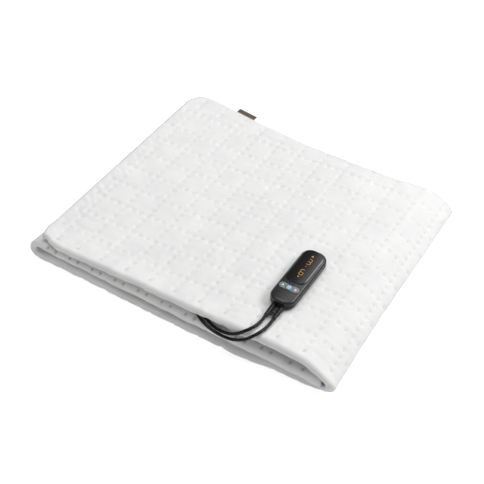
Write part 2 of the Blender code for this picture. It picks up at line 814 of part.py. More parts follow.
def build_coil(collection, cutters, materials):
    """The wound turns as one ring of their outer shape, and the tie round them."""
    half_width = COIL_WIDE * CORD / 2
    inner, outer = COIL_LINE_RADIUS - half_width, COIL_LINE_RADIUS + half_width
    low = middle_top() + TOUCH
    high = low + COIL_LAYERS * CORD + COIL_SPARE
    profile = [
        (outer - COIL_ROUND, high),
        (outer, high - COIL_ROUND),
        (outer, low + COIL_ROUND),
        (outer - COIL_ROUND, low),
        (inner + COIL_ROUND, low),
        (inner, low + COIL_ROUND),
        (inner, high - COIL_ROUND),
        (inner + COIL_ROUND, high),
    ]
    mesh = bpy.data.meshes.new("cord_coil")
    ring = bmesh.new()
    points = [ring.verts.new((x * MM, 0.0, z * MM)) for x, z in profile]
    for i, point in enumerate(points):
        ring.edges.new((point, points[(i + 1) % len(points)]))
    ring.to_mesh(mesh)
    ring.free()
    coil = add_mesh_object("cord_coil", mesh, collection, materials["cord"])
    screw = coil.modifiers.new("Screw", "SCREW")
    screw.steps = screw.render_steps = 36
    screw.use_merge_vertices = True
    screw.merge_threshold = 0.00001
    coil.location = placed(COIL_X, COIL_Y, 0.0)

    near = COIL_Y - outer - TOUCH - TIE_WIDTH**2 / 8 / outer
    far = COIL_Y - inner + TOUCH + TIE_WIDTH**2 / 8 / inner
    tie = box(
        "coil_tie",
        (COIL_X - TIE_WIDTH / 2, near - TIE_THICK, low - TOUCH / 2),
        (COIL_X + TIE_WIDTH / 2, far + TIE_THICK, high + TOUCH + TIE_THICK),
        collection,
        materials["tie"],
    )
    hole = box(
        "tie_hole",
        (COIL_X - TIE_WIDTH, near, low - 2.0),
        (COIL_X + TIE_WIDTH, far, high + TOUCH),
        cutters,
    )
    add_boolean(tie, as_cutter(hole), "DIFFERENCE")
    turn = Matrix.Rotation(math.radians(TIE_TURN), 4, "Z")
    about = Matrix.Translation(placed(COIL_X, COIL_Y, 0.0))
    for obj in (tie, hole):
        obj.matrix_world = about @ turn @ about.inverted() @ Matrix.Translation(obj.location)


def build_plug(collection, cutters, materials):
    """A flat two-pin plug: a body that narrows to the cord, its moulded relief and two pins."""
    z = middle_top() + TOUCH + PLUG_THICK / 2
    front = PLUG_Y + PLUG_RELIEF
    side, neck = PLUG_WIDTH / 2, PLUG_WIDTH / 4
    outline = [
        (side - PLUG_CORNER, PLUG_LENGTH),
        (-side + PLUG_CORNER, PLUG_LENGTH),
        (-side, PLUG_LENGTH - PLUG_CORNER),
        (-side, PLUG_LENGTH * PLUG_SHOULDER),
        (-side * PLUG_WAIST, PLUG_LENGTH * PLUG_HIP),
        (-neck, 0.0),
        (neck, 0.0),
        (side * PLUG_WAIST, PLUG_LENGTH * PLUG_HIP),
        (side, PLUG_LENGTH * PLUG_SHOULDER),
        (side, PLUG_LENGTH - PLUG_CORNER),
    ]
    low, high = z - PLUG_THICK / 2, z + PLUG_THICK / 2
    body = plate("mains_plug", outline, (PLUG_X, front), low, high, collection, materials["plug"])
    round_rim(body, lower=False, width=PLUG_ROUND, segments=3)
    round_rim(body, lower=True, width=PLUG_ROUND, segments=3)
    relief = turned("plug_relief", PLUG_SLEEVE, (PLUG_X, front, z), (0, -1), cutters)
    add_boolean(body, as_cutter(relief), "UNION")
    for number, sign in enumerate((-1, 1)):
        pin_profile = [(0.0, PIN_RADIUS)]
        pin_profile += [(PIN_LENGTH - back, PIN_RADIUS * share) for back, share in PIN_TIP]
        start = (PLUG_X + sign * PIN_SPACING / 2, front + PLUG_LENGTH + TOUCH, z)
        turned(f"plug_pin_{number + 1}", pin_profile, start, (0, 1), collection, materials["pin"])


def build_socket(collection, cutters, materials):
    """The flat connector on the middle panel's free edge, where the blanket's lead plugs in."""
    low = middle_top() + TOUCH
    outline = rounded_outline(
        SOCKET_WIDTH, -SOCKET_LENGTH, 0.0, SOCKET_FRONT_CORNER, SOCKET_REAR_CORNER
    )
    body = plate(
        "blanket_socket",
        outline,
        (SOCKET_X, SOCKET_Y),
        low,
        low + SOCKET_THICK,
        collection,
        materials["plug"],
    )
    round_rim(body, lower=False, width=SOCKET_ROUND, segments=3)
    start = (SOCKET_X, SOCKET_Y, low + SOCKET_THICK / 2)
    relief = turned("socket_relief", SOCKET_SLEEVE, start, (0, 1), cutters)
    add_boolean(body, as_cutter(relief), "UNION")


def build_label(collection, material):
    hem = smooth_between(BACK, 1, LABEL_X)
    level = top_height(LABEL_X, hem) - CLOTH / 2
    label = box(
        "side_label",
        (LABEL_X - LABEL_LENGTH / 2, hem, level - LABEL_THICK / 2),
        (LABEL_X + LABEL_LENGTH / 2, hem + LABEL_REACH, level + LABEL_THICK / 2),
        collection,
        material,
    )
    edge = placed(LABEL_X, hem + LABEL_OUT, level)
    inner = Matrix.Translation((0.0, LABEL_REACH / 2 * MM, 0.0))
    turn = Matrix.Rotation(math.radians(LABEL_TURN), 4, "Z")
    tilt = Matrix.Rotation(math.radians(LABEL_TILT), 4, "X")
    label.matrix_world = Matrix.Translation(edge) @ turn @ tilt @ inner
    add_bevel(label, LABEL_ROUND, 1)


def main():
    start_empty()
    collection = new_collection("Electric heated blanket")
    cutters = new_collection("Cutters")
    materials = {
        "fleece": new_material("White fleece", (0.86, 0.86, 0.85), 0.95),
        "label": new_material("Brown woven ribbon", (0.15, 0.11, 0.075), 0.85),
        "base": new_material("Dark soft plastic", (0.03, 0.03, 0.032), 0.55),
        "shell": new_material("Grey satin plastic", (0.085, 0.087, 0.09), 0.38),
        "window": new_material("Smoked display cover", (0.01, 0.01, 0.012), 0.08),
        "key_left": new_material("Pale grey key", (0.35, 0.36, 0.37), 0.4),
        "key_middle": new_material("Lit blue key", (0.18, 0.5, 0.58), 0.35),
        "cord": new_material("Black cord", (0.012, 0.012, 0.013), 0.45),
        "tie": new_material("Black tie", (0.02, 0.02, 0.02), 0.6),
        "plug": new_material("Black plug plastic", (0.016, 0.016, 0.017), 0.4),
        "pin": new_material("Nickel plated brass", (0.62, 0.6, 0.56), 0.25, 1.0),
    }
    materials["key_right"] = materials["key_left"]
    build_blanket(collection, materials["fleece"])
    build_label(collection, materials["label"])
    build_controller(collection, cutters, materials)
    build_strain_relief(collection, cutters, materials)
    tube("mains_cord", MAINS_ROUTE, collection, materials["cord"])
    tube("mains_cord_tail", TAIL_ROUTE, collection, materials["cord"])
    tube("blanket_lead", LEAD_ROUTE, collection, materials["cord"])
    build_coil(collection, cutters, materials)
    build_plug(collection, cutters, materials)
    build_socket(collection, cutters, materials)


main()
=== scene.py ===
"""Looks of an electric heated blanket: quilted white fleece folded in half and then in three, with its
hand controller on top and two cords that go in under the top panel. Lengths are in metres, but for the
cloth's folds, which are in millimetres from the blanket's left and front folds."""

import math

import bmesh
import bpy
import numpy as np
from mathutils import Matrix, Vector


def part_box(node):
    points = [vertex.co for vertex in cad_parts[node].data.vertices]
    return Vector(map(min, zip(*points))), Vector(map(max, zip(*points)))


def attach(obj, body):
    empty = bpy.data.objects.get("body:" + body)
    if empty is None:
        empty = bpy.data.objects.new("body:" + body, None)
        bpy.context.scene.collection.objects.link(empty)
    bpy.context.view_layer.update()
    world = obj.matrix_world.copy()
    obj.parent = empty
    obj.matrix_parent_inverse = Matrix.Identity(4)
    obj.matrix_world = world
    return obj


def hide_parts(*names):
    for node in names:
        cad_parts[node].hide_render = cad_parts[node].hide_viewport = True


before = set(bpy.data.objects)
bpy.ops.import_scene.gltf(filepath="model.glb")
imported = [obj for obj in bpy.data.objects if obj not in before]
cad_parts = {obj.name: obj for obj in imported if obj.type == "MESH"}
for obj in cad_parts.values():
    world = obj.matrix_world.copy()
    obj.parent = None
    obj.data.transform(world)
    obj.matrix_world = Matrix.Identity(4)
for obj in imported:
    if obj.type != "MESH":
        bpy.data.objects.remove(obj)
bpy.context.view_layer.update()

# ---------------------------------------------------------------------------------------- Camera
# A long lens looks down at the front folds from the right. It was fitted to the photograph by the
# blanket's corners, its quilting and the controller.
CAMERA_AIM, CAMERA_DISTANCE = Vector((0.00735, -0.0384, 0.02)), 1.537
AZIMUTH, ELEVATION, ROLL = math.radians(28.68), math.radians(44.04), math.radians(3.28)
LENS, SENSOR = 76.25, 36.0

camera_data = bpy.data.cameras.new("camera")
camera_data.lens, camera_data.sensor_width = LENS, SENSOR
camera = bpy.data.objects.new("camera", camera_data)
bpy.context.scene.collection.objects.link(camera)
level = math.cos(ELEVATION)
towards = Vector((math.sin(AZIMUTH) * level, -math.cos(AZIMUTH) * level, math.sin(ELEVATION)))
upright = (-towards).to_track_quat("-Z", "Y").to_matrix().to_4x4()
camera.matrix_world = (
    Matrix.Translation(CAMERA_AIM + towards * CAMERA_DISTANCE) @ upright @ Matrix.Rotation(ROLL, 4, "Z")
)
bpy.context.scene.camera = camera

# ------------------------------------------------------------------------------------- Mains plug
# A flat two-pin plug of black moulded plastic. Its body narrows to a ribbed relief over the cord, and
# its two nickel-plated pins are moulded in. It lies on the middle panel, out of sight.
PLUG_BODY = 0.036
PLUG_CORNERS = (0.0088, 0.0088, 0.0025, 0.0025)
PLUG_SIDE_ROUND = 0.0022
PLUG_RIBS, PLUG_RELIEF, PLUG_RELIEF_NARROWS = 4, 0.0052, 0.0020
# Along a rib, as a share of its length, and how deep under its crest.
PLUG_RIB = ((0.62, 0.0002), (0.66, 0.0009), (0.96, 0.0010), (1.0, 0.0004))
PIN_TIP = 0.0012
# Back from a pin's end, as a share of its tip, and the share of its radius.
PIN_POINT = ((1.0, 1.0), (0.5, 0.9), (0.15, 0.68), (0.0, 0.4))
SUNK = 0.001  # how far a shape reaches into the one that it is joined to or cuts
HAIR = 0.00001  # keeps two full roundings apart
NEAR = 0.000001  # how close a corner counts as being at a place


def deselect_all():
    if bpy.context.object and bpy.context.object.mode == "EDIT":
        bpy.ops.object.mode_set(mode="OBJECT")
    bpy.ops.object.select_all(action="DESELECT")


def pick(kind, test):
    """Selects the verts or edges of the mesh in edit mode whose ends all pass a test."""
    mesh = bpy.context.object.data
    cage = bmesh.from_edit_mesh(mesh)
    for part in (*cage.verts, *cage.edges, *cage.faces):
        part.select = False
    for part in getattr(cage, kind):
        ends = [part] if kind == "verts" else part.verts
        if all(test(end.co) for end in ends):
            part.select_set(True)
    cage.select_mode = {"VERT" if kind == "verts" else "EDGE"}
    cage.select_flush_mode()
    bmesh.update_edit_mesh(mesh)
    bpy.context.tool_settings.mesh_select_mode = (kind == "verts", kind == "edges", False)


def select_mesh():
    bpy.ops.mesh.select_all(action="SELECT")


def start_shape(name):
    """Names the new primitive, puts its place in its mesh and starts to edit it, all selected."""
    shape = bpy.context.object
    shape.name = shape.data.name = name
    bpy.ops.object.transform_apply(location=True, rotation=True, scale=True)
    bpy.ops.object.mode_set(mode="EDIT")
    select_mesh()


def start_disc(name, centre, radius, sides, turn=(0.0, 0.0, 0.0)):
    deselect_all()
    bpy.ops.mesh.primitive_circle_add(
        vertices=sides, radius=radius, fill_type="NGON", location=centre, rotation=turn
    )
    start_shape(name)


def extrude(x, y, z):
    bpy.ops.mesh.extrude_region_move(TRANSFORM_OT_translate={"value": (x, y, z)})


def smooth(piece, degrees=35.0):
    """Smooths a piece's soft edges."""
    deselect_all()
    piece.select_set(True)
    bpy.ops.object.shade_smooth_by_angle(angle=math.radians(degrees))


def end_shape(material=None):
    """Points the faces outwards, smooths the soft edges and gives the piece its finish."""
    shape = bpy.context.object
    select_mesh()
    bpy.ops.mesh.remove_doubles(threshold=2 * NEAR)
    bpy.ops.mesh.normals_make_consistent(inside=False)
    smooth(shape)
    if material:
        shape.data.materials.clear()
        shape.data.materials.append(material)
    return shape


def drawn_along_y(name, centre, stations, material, sides=24):
    """A round piece: a disc at its first (y, radius) station, drawn out to each of the others."""
    first_y, first_radius = stations[0]
    start_disc(name, (centre.x, first_y, centre.z), first_radius, sides, (math.pi / 2, 0.0, 0.0))
    for (y, radius), (next_y, next_radius) in zip(stations, stations[1:]):
        extrude(0.0, next_y - y, 0.0)
        grow = next_radius / radius
        about = (centre.x, next_y, centre.z)
        bpy.ops.transform.resize(value=(grow, 1.0, grow), center_override=about)
    return end_shape(material)


def ribs(root, pitch, radii, profile):
    """Stations of a ribbed sleeve that runs from its root to the front, with one radius for each rib."""
    return [
        (root - pitch * (i + share), radius - depth)
        for i, radius in enumerate(radii)
        for share, depth in profile
    ]


def slab(name, low, high, corners=(0.0,) * 4, material=None, rim=0.0, foot=0.0, rounds=12, rim_rounds=5):
    """A flat slab between two corners of its box. The radii of its upright edges go front left, front
    right, rear right, rear left, and its upper rim and its foot are rounded too."""
    deselect_all()
    low, high = Vector(low), Vector(high)
    middle, size = (low + high) / 2, high - low
    bpy.ops.mesh.primitive_plane_add(size=1.0, location=(middle.x, middle.y, low.z))
    bpy.context.object.scale = (size.x, size.y, 1.0)
    start_shape(name)
    places = ((low.x, low.y), (high.x, low.y), (high.x, high.y), (low.x, high.y))
    for (x, y), radius in zip(places, corners):
        if radius:
            pick("verts", lambda co: abs(co.x - x) < NEAR and abs(co.y - y) < NEAR)
            bpy.ops.mesh.bevel(offset=radius, segments=rounds, affect="VERTICES")
    select_mesh()
    extrude(0.0, 0.0, size.z)
    for level, width in ((high.z, rim), (low.z, foot)):
        if width:
            pick("edges", lambda co: abs(co.z - level) < NEAR)
            bpy.ops.mesh.bevel(offset=width, segments=rim_rounds, affect="EDGES")
    return end_shape(material)


def cut(piece, *cutters):
    """Cuts other shapes out of a piece, and takes the shapes away."""
    for cutter in cutters:
        deselect_all()
        bpy.context.view_layer.objects.active = piece
        modifier = piece.modifiers.new("Cut", "BOOLEAN")
        modifier.operation, modifier.solver, modifier.object = "DIFFERENCE", "EXACT", cutter
        bpy.ops.object.modifier_apply(modifier=modifier.name)
        bpy.data.objects.remove(cutter, do_unlink=True)
    smooth(piece)


def join(piece, *others):
    """Makes several shapes one piece."""
    deselect_all()
    for shape in (piece, *others):
        shape.select_set(True)
    bpy.context.view_layer.objects.active = piece
    bpy.ops.object.join()
    return piece


def add(tree, kind, values=(), **settings):
    """A new shader node, with the settings and the input values that it needs."""
    node = tree.nodes.new("ShaderNode" + kind)
    for setting, value in settings.items():
        setattr(node, setting, value)
    for socket, value in dict(values).items():
        node.inputs[socket].default_value = value
    return node


def wire(tree, *links):
    """Links nodes. Each link is a node, its output, the next node and its input."""
    for source, output, target, entry in links:
        tree.links.new(source.outputs[output], target.inputs[entry])


def moulding_grain():
    """Spark grain of moulded plastic: a fine bump, and roughness that wanders between two values."""
    group = bpy.data.node_groups.new("moulding grain", "ShaderNodeTree")
    for name, value in (("Scale", 900.0), ("Depth", 0.2), ("Smoothest", 0.3), ("Roughest", 0.5)):
        socket = group.interface.new_socket(name, in_out="INPUT", socket_type="NodeSocketFloat")
        socket.default_value = value
    group.interface.new_socket("Roughness", in_out="OUTPUT", socket_type="NodeSocketFloat")
    group.interface.new_socket("Normal", in_out="OUTPUT", socket_type="NodeSocketVector")
    given, put_out = group.nodes.new("NodeGroupInput"), group.nodes.new("NodeGroupOutput")
    where, fine = add(group, "TexCoord"), add(group, "TexNoise")
    drift = add(group, "TexNoise", {"Scale": 90.0, "Detail": 4.0})
    bump = add(group, "Bump", {"Distance": 0.0001})
    span = add(group, "MapRange", {"From Min": 0.35, "From Max": 0.65})
    wire(
        group,
        (where, "Object", fine, "Vector"),
        (where, "Object", drift, "Vector"),
        (given, "Scale", fine, "Scale"),
        (given, "Depth", bump, "Strength"),
        (fine, "Fac", bump, "Height"),
        (drift, "Fac", span, "Value"),
        (given, "Smoothest", span, "To Min"),
        (given, "Roughest", span, "To Max"),
        (span, "Result", put_out, "Roughness"),
        (bump, "Normal", put_out, "Normal"),
    )
    return group


def new_finish(name, colour, values=()):
    """A material of one colour, its shader and its nodes."""
    finish = bpy.data.materials.new(name)
    finish.use_nodes = True
    shader = finish.node_tree.nodes["Principled BSDF"]
    shader.inputs["Base Color"].default_value = colour
    for socket, value in dict(values).items():
        shader.inputs[socket].default_value = value
    return finish, shader, finish.node_tree


def grained(name, colour, scale, depth, smoothest, roughest, values=()):
    """A moulded finish with its own grain."""
    finish, shader, tree = new_finish(name, colour, values)
    sockets = {"Scale": scale, "Depth": depth, "Smoothest": smoothest, "Roughest": roughest}
    node = add(tree, "Group", sockets, node_tree=grain)
    wire(tree, (node, "Roughness", shader, "Roughness"), (node, "Normal", shader, "Normal"))
    return finish


grain = moulding_grain()
plug_plastic = grained("black plug plastic", (0.016, 0.016, 0.017, 1.0), 1400.0, 0.25, 0.34, 0.48)
nickel = grained("nickel plate", (0.62, 0.60, 0.56, 1.0), 2600.0, 0.08, 0.18, 0.30, {"Metallic": 1.0})

low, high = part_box("mains_plug")
root = high.y - PLUG_BODY
rounding = {"rim": PLUG_SIDE_ROUND, "foot": PLUG_SIDE_ROUND}
plug = slab("mains_plug_moulding", (low.x, root, low.z), high, PLUG_CORNERS, plug_plastic, **rounding)
radii = [PLUG_RELIEF - PLUG_RELIEF_NARROWS * rib / PLUG_RIBS for rib in range(PLUG_RIBS)]
stations = [(root + 2 * SUNK, PLUG_RELIEF)] + ribs(root, (root - low.y) / PLUG_RIBS, radii, PLUG_RIB)
join(plug, drawn_along_y("plug_relief", (low + high) / 2, stations, plug_plastic))
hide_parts("mains_plug")
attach(plug, "folded_blanket")

pins = []
for node in ("plug_pin_1", "plug_pin_2"):
    low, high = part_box(node)
    radius = (high.x - low.x) / 2
    stations = [(low.y - SUNK, radius)]
    stations += [(high.y - PIN_TIP * back, radius * share) for back, share in PIN_POINT]
    pin = drawn_along_y(node + "_plated", (low + high) / 2, stations, nickel)
    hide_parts(node)
    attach(pin, "folded_blanket")
    pins.append(pin)

# ------------------------------------------------------------------------------------- Connector
# The flat connector on the blanket's own lead, of the same black plastic, with a grip of raised bars and
# a relief with one groove. It sits on the middle panel's free edge, inside the fold.
SOCKET_BODY = 0.044
SOCKET_CORNERS = (0.005, 0.005, 0.007, 0.007)
# Along the relief, as a share of its length, and its radius.
SOCKET_RELIEF = ((0.3, 0.0041), (0.34, 0.0036), (0.62, 0.0036), (0.66, 0.0038))
RELIEF_ROOT, RELIEF_MOUTH, RELIEF_TIP, RELIEF_END = 0.0042, 0.0031, 0.0028, 0.001
SOCKET_STEP, SOCKET_RIM, SOCKET_FOOT = 0.0004, 0.002, 0.0008
GRIP_BARS, GRIP_START, GRIP_PITCH = 5, 0.012, 0.0042
BAR_HALF, BAR_DEPTH, BAR_ROUND = 0.0085, 0.0016, 0.0007

low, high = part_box("blanket_socket")
centre, back = (low + high) / 2, low.y + SOCKET_BODY
head_corner = (high.x, back, high.z - SOCKET_STEP)
rounding = {"corners": SOCKET_CORNERS, "rim": SOCKET_RIM, "foot": SOCKET_FOOT}
socket = slab("blanket_connector", low, head_corner, material=plug_plastic, **rounding)
stations = [(back - 4 * SUNK, RELIEF_ROOT)]
stations += [(back + (high.y - back) * share, radius) for share, radius in SOCKET_RELIEF]
stations += [(high.y - RELIEF_END, RELIEF_MOUTH), (high.y, RELIEF_TIP)]
extras = [drawn_along_y("connector_relief", centre, stations, plug_plastic)]
rounding = {"corners": (BAR_ROUND,) * 4, "rim": 0.0003, "rounds": 3, "rim_rounds": 2}
for bar in range(GRIP_BARS):
    y = low.y + GRIP_START + bar * GRIP_PITCH
    foot_corner = (centre.x - BAR_HALF, y, high.z - SUNK)
    head_corner = (centre.x + BAR_HALF, y + BAR_DEPTH, high.z)
    extras.append(slab("grip_bar", foot_corner, head_corner, material=plug_plastic, **rounding))
join(socket, *extras)
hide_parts("blanket_socket")
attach(socket, "folded_blanket")

# ------------------------------------------------------------------------------------------ Tie
# A soft black band that holds the wound turns of the mains cord together, moulded as a flat strap that
# closes on itself.
TIE_WIDTH, TIE_THICK, TIE_ROUND = 0.007, 0.0008, 0.00025
TIE_GAP = 0.0003
TIE_TURN = math.radians(75.0)
COIL_CENTRE = Vector((0.15915, -0.0424, 0.0))
COIL_OUTER, COIL_INNER = 0.0391, 0.0161

tie_rubber = grained("black tie rubber", (0.02, 0.02, 0.02, 1.0), 1800.0, 0.3, 0.5, 0.68)
low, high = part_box("coil_tie")
left, right = COIL_CENTRE.x - TIE_WIDTH / 2, COIL_CENTRE.x + TIE_WIDTH / 2
near = COIL_CENTRE.y - COIL_OUTER - TIE_GAP - TIE_WIDTH**2 / 8 / COIL_OUTER
far = COIL_CENTRE.y - COIL_INNER + TIE_GAP + TIE_WIDTH**2 / 8 / COIL_INNER
tie = slab(
    "cord_tie", (left, near - TIE_THICK, low.z), (right, far + TIE_THICK, high.z), material=tie_rubber
)
half = TIE_WIDTH / 2
cut(tie, slab("tie_opening", (left - half, near, low.z - SUNK), (right + half, far, high.z - TIE_THICK)))
bpy.context.view_layer.objects.active = tie
bpy.ops.object.mode_set(mode="EDIT")
select_mesh()
bpy.ops.mesh.bevel(offset=TIE_ROUND, segments=2, affect="EDGES")
end_shape(tie_rubber)
about_coil = Matrix.Translation(COIL_CENTRE)
tie.data.transform(about_coil @ Matrix.Rotation(TIE_TURN, 4, "Z") @ about_coil.inverted())
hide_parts("coil_tie")
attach(tie, "folded_blanket")

# ---------------------------------------------------------------------------------------- Cords
# Two round black cords leave the controller, hang over the front edge and go in under the top panel.
# One is the blanket's lead. The other is the mains cord, whose spare length is wound in a round coil
# of two layers behind the slot, and ends in the plug.
CORD = 0.0046
CORD_STEP = 0.0025
MAINS_ROUTE = (
    (0.1271, -0.1745, 0.0612), (0.12705, -0.1805, 0.0612), (0.12725, -0.1894, 0.0608),
    (0.12615, -0.1996, 0.061), (0.12295, -0.2088, 0.0611), (0.11715, -0.216, 0.0584),
    (0.10895, -0.2199, 0.052), (0.09875, -0.2208, 0.0452), (0.08615, -0.2196, 0.0398),
    (0.07115, -0.2168, 0.0369), (0.05615, -0.2118, 0.0369), (0.04315, -0.2034, 0.0367),
    (0.03475, -0.1914, 0.0351), (0.03235, -0.1754, 0.0324), (0.03615, -0.1574, 0.0312),
    (0.04615, -0.1374, 0.0309), (0.06215, -0.1179, 0.0309), (0.08315, -0.0989, 0.0309),
    (0.11015, -0.0848, 0.0308), (0.13955, -0.0792, 0.0308),
)
TAIL_ROUTE = (
    (0.13955, -0.0056, 0.0352), (0.13215, -0.0051, 0.0348), (0.12415, -0.0022, 0.0342),
    (0.11795, 0.0042, 0.0339), (0.11535, 0.014, 0.0343), (0.11515, 0.0286, 0.035),
    (0.11515, 0.0346, 0.035),
)
LEAD_ROUTE = (
    (0.13925, -0.1745, 0.0612), (0.13925, -0.1805, 0.0612), (0.13935, -0.1894, 0.0608),
    (0.13845, -0.2008, 0.061), (0.13535, -0.211, 0.0611), (0.13015, -0.2188, 0.0582),
    (0.12235, -0.2236, 0.052), (0.11115, -0.2254, 0.0448), (0.09715, -0.2252, 0.0392),
    (0.08015, -0.2234, 0.0361), (0.06315, -0.2204, 0.0356), (0.04915, -0.2158, 0.0366),
    (0.03765, -0.2088, 0.0369), (0.02865, -0.1999, 0.0361), (0.02195, -0.1894, 0.0346),
    (0.01755, -0.1764, 0.0326), (0.01595, -0.1584, 0.0312), (0.01665, -0.1254, 0.0309),
    (0.02165, -0.0804, 0.0309), (0.02565, -0.0304, 0.0309), (0.02865, 0.0196, 0.0309),
    (0.03415, 0.0646, 0.0309), (0.04715, 0.1016, 0.0309), (0.07315, 0.1286, 0.0309),
    (0.10915, 0.1386, 0.0309), (0.14515, 0.1326, 0.0312), (0.17215, 0.1136, 0.0318),
    (0.18515, 0.0906, 0.0326), (0.18815, 0.0676, 0.0329), (0.18815, 0.0606, 0.0329),
)
COIL_LOWEST_LINE = 0.0307
COIL_TIGHTEST = 0.0184
COIL_TURNS = 4
POINTS_A_TURN = 24


def coil_points():
    """Four turns inwards on the lower layer, half a turn that climbs, and four turns outwards on it."""
    turns = [i / POINTS_A_TURN for i in range(COIL_TURNS * POINTS_A_TURN + 1)]
    rises = [2 * i / POINTS_A_TURN for i in range(1, POINTS_A_TURN // 2)]
    points = [(turn - 0.25, COIL_TIGHTEST + CORD * (COIL_TURNS - turn), 0.0) for turn in turns]
    points += [(rise / 2 - 0.25, COIL_TIGHTEST, CORD * rise**2 * (3 - 2 * rise)) for rise in rises]
    points += [(turn + 0.25, COIL_TIGHTEST + CORD * turn, CORD) for turn in turns]
    centre = Vector((COIL_CENTRE.x, COIL_CENTRE.y, COIL_LOWEST_LINE))
    return tuple(
        (
            centre.x + radius * math.cos(math.tau * turn),
            centre.y + radius * math.sin(math.tau * turn),
            centre.z + lift,
        )
        for turn, radius, lift in points
    )


def walked_along(points):
    """How far along a line of points each of them is."""
    return np.concatenate([[0.0], np.cumsum(np.linalg.norm(np.diff(points, axis=0), axis=1))])


def read_line(points, walked, stops):
    """Places on a line of points, at these distances along it."""
    return np.stack([np.interp(stops, walked, points[:, i]) for i in range(3)], axis=1)


def smooth_line(route, step):
    """Points a step apart along a smooth curve through a route's points."""
    knots = np.array(route, float)
    before = np.vstack([knots[:1], knots[:-2]])
    after = np.vstack([knots[2:], knots[-1:]])
    t = np.linspace(0.0, 1.0, 20, endpoint=False)[None, :, None]
    start, end = knots[:-1, None], knots[1:, None]
    out_of, into = (end - before[:, None]) / 2, (after[:, None] - start) / 2
    fine = start * (2 * t**3 - 3 * t**2 + 1) + end * (3 * t**2 - 2 * t**3)
    fine = fine + out_of * (t**3 - 2 * t**2 + t) + into * (t**3 - t**2)
    fine = np.vstack([fine.reshape(-1, 3), knots[-1:]])
    walked = walked_along(fine)
    stops = np.linspace(0.0, walked[-1], max(round(walked[-1] / step), 2) + 1)
    return read_line(fine, walked, stops)


def cord_curve(name, route, material):
    """A cord as a curve with a round section."""
    line = smooth_line(route, CORD_STEP)
    curve = bpy.data.curves.new(name, "CURVE")
    curve.dimensions = "3D"
    curve.bevel_depth, curve.bevel_resolution = CORD / 2, 4
    curve.use_fill_caps = True
    spline = curve.splines.new("POLY")
    spline.points.add(len(line) - 1)
    spline.points.foreach_set("co", np.hstack([line, np.ones((len(line), 1))]).ravel())
    spline.use_smooth = True
    cord = bpy.data.objects.new(name, curve)
    bpy.context.scene.collection.objects.link(cord)
    curve.materials.append(material)
    return cord


less_gloss = {"Specular IOR Level": 0.26}
sheath = grained("black cord sheath", (0.006, 0.006, 0.0065, 1.0), 700.0, 0.10, 0.20, 0.27, less_gloss)
mains_cord = cord_curve("mains_cord_whole", MAINS_ROUTE + coil_points() + TAIL_ROUTE, sheath)
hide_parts("mains_cord", "cord_coil", "mains_cord_tail")
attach(mains_cord, "folded_blanket")
lead = cord_curve("blanket_lead_whole", LEAD_ROUTE, sheath)
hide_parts("blanket_lead")
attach(lead, "folded_blanket")

# --------------------------------------------------------------------------------- Strain relief
# Two ribbed sleeves of soft black plastic, moulded in one with the short bars between them. They
# taper from the controller's end and keep the cords from kinking.
BOOT_ROOT, BOOT_TIP = 0.0039, 0.0031
BOOT_RIBS, BOOT_LENGTH = 5, 0.024
RIB_DEPTH = 0.0007
# Along a rib, as a share of its length, and its depth as a share of the deepest.
RIB = ((0.05, 0.0), (0.50, 0.0), (0.56, 0.3), (0.60, 1.0), (0.93, 1.0), (0.98, 0.3))
WEB_BARS = ((0.0050, 0.0042), (0.0140, 0.0052))  # from the controller, and length
WEB_HALF, WEB_ROUND = 0.0012, 0.0006

black, less_gloss = (0.008, 0.008, 0.0085, 1.0), {"Specular IOR Level": 0.34}
soft_plastic = grained("soft black plastic", black, 1100.0, 0.2, 0.26, 0.36, less_gloss)
low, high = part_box("strain_relief")
centre_z = (low.z + high.z) / 2
radii = [BOOT_ROOT + (BOOT_TIP - BOOT_ROOT) * rib / (BOOT_RIBS - 1) for rib in range(BOOT_RIBS)]
profile = [(share, RIB_DEPTH * depth) for share, depth in RIB]
stations = [(high.y + 2 * SUNK, BOOT_ROOT), *ribs(high.y, BOOT_LENGTH / BOOT_RIBS, radii, profile)]
stations.append((low.y, BOOT_TIP - RIB_DEPTH))
sleeves = MAINS_ROUTE[0][0], LEAD_ROUTE[0][0]
boots = [
    drawn_along_y("boot", Vector((x, 0.0, centre_z)), stations, soft_plastic, sides=32) for x in sleeves
]
rounding = {"rim": WEB_ROUND, "foot": WEB_ROUND}
for start, length in WEB_BARS:
    foot_corner = (sleeves[0], high.y - start - length, centre_z - WEB_HALF)
    head_corner = (sleeves[1], high.y - start, centre_z + WEB_HALF)
    boots.append(slab("web_bar", foot_corner, head_corner, material=soft_plastic, **rounding))
relief = join(*boots)
relief.name = relief.data.name = "twin_strain_relief"
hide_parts("strain_relief")
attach(relief, "folded_blanket")

# ------------------------------------------------------------------------------- Controller base
# The lower half of the hand controller, a tray of dark soft-touch plastic with four small screw
# wells under it.
OUTLINE = (0.0155, 0.0155, 0.014, 0.014)
WELL_RADIUS, WELL_DEPTH = 0.0024, 0.0022
WELL_ASIDE, WELL_FROM_END = 0.0115, 0.022

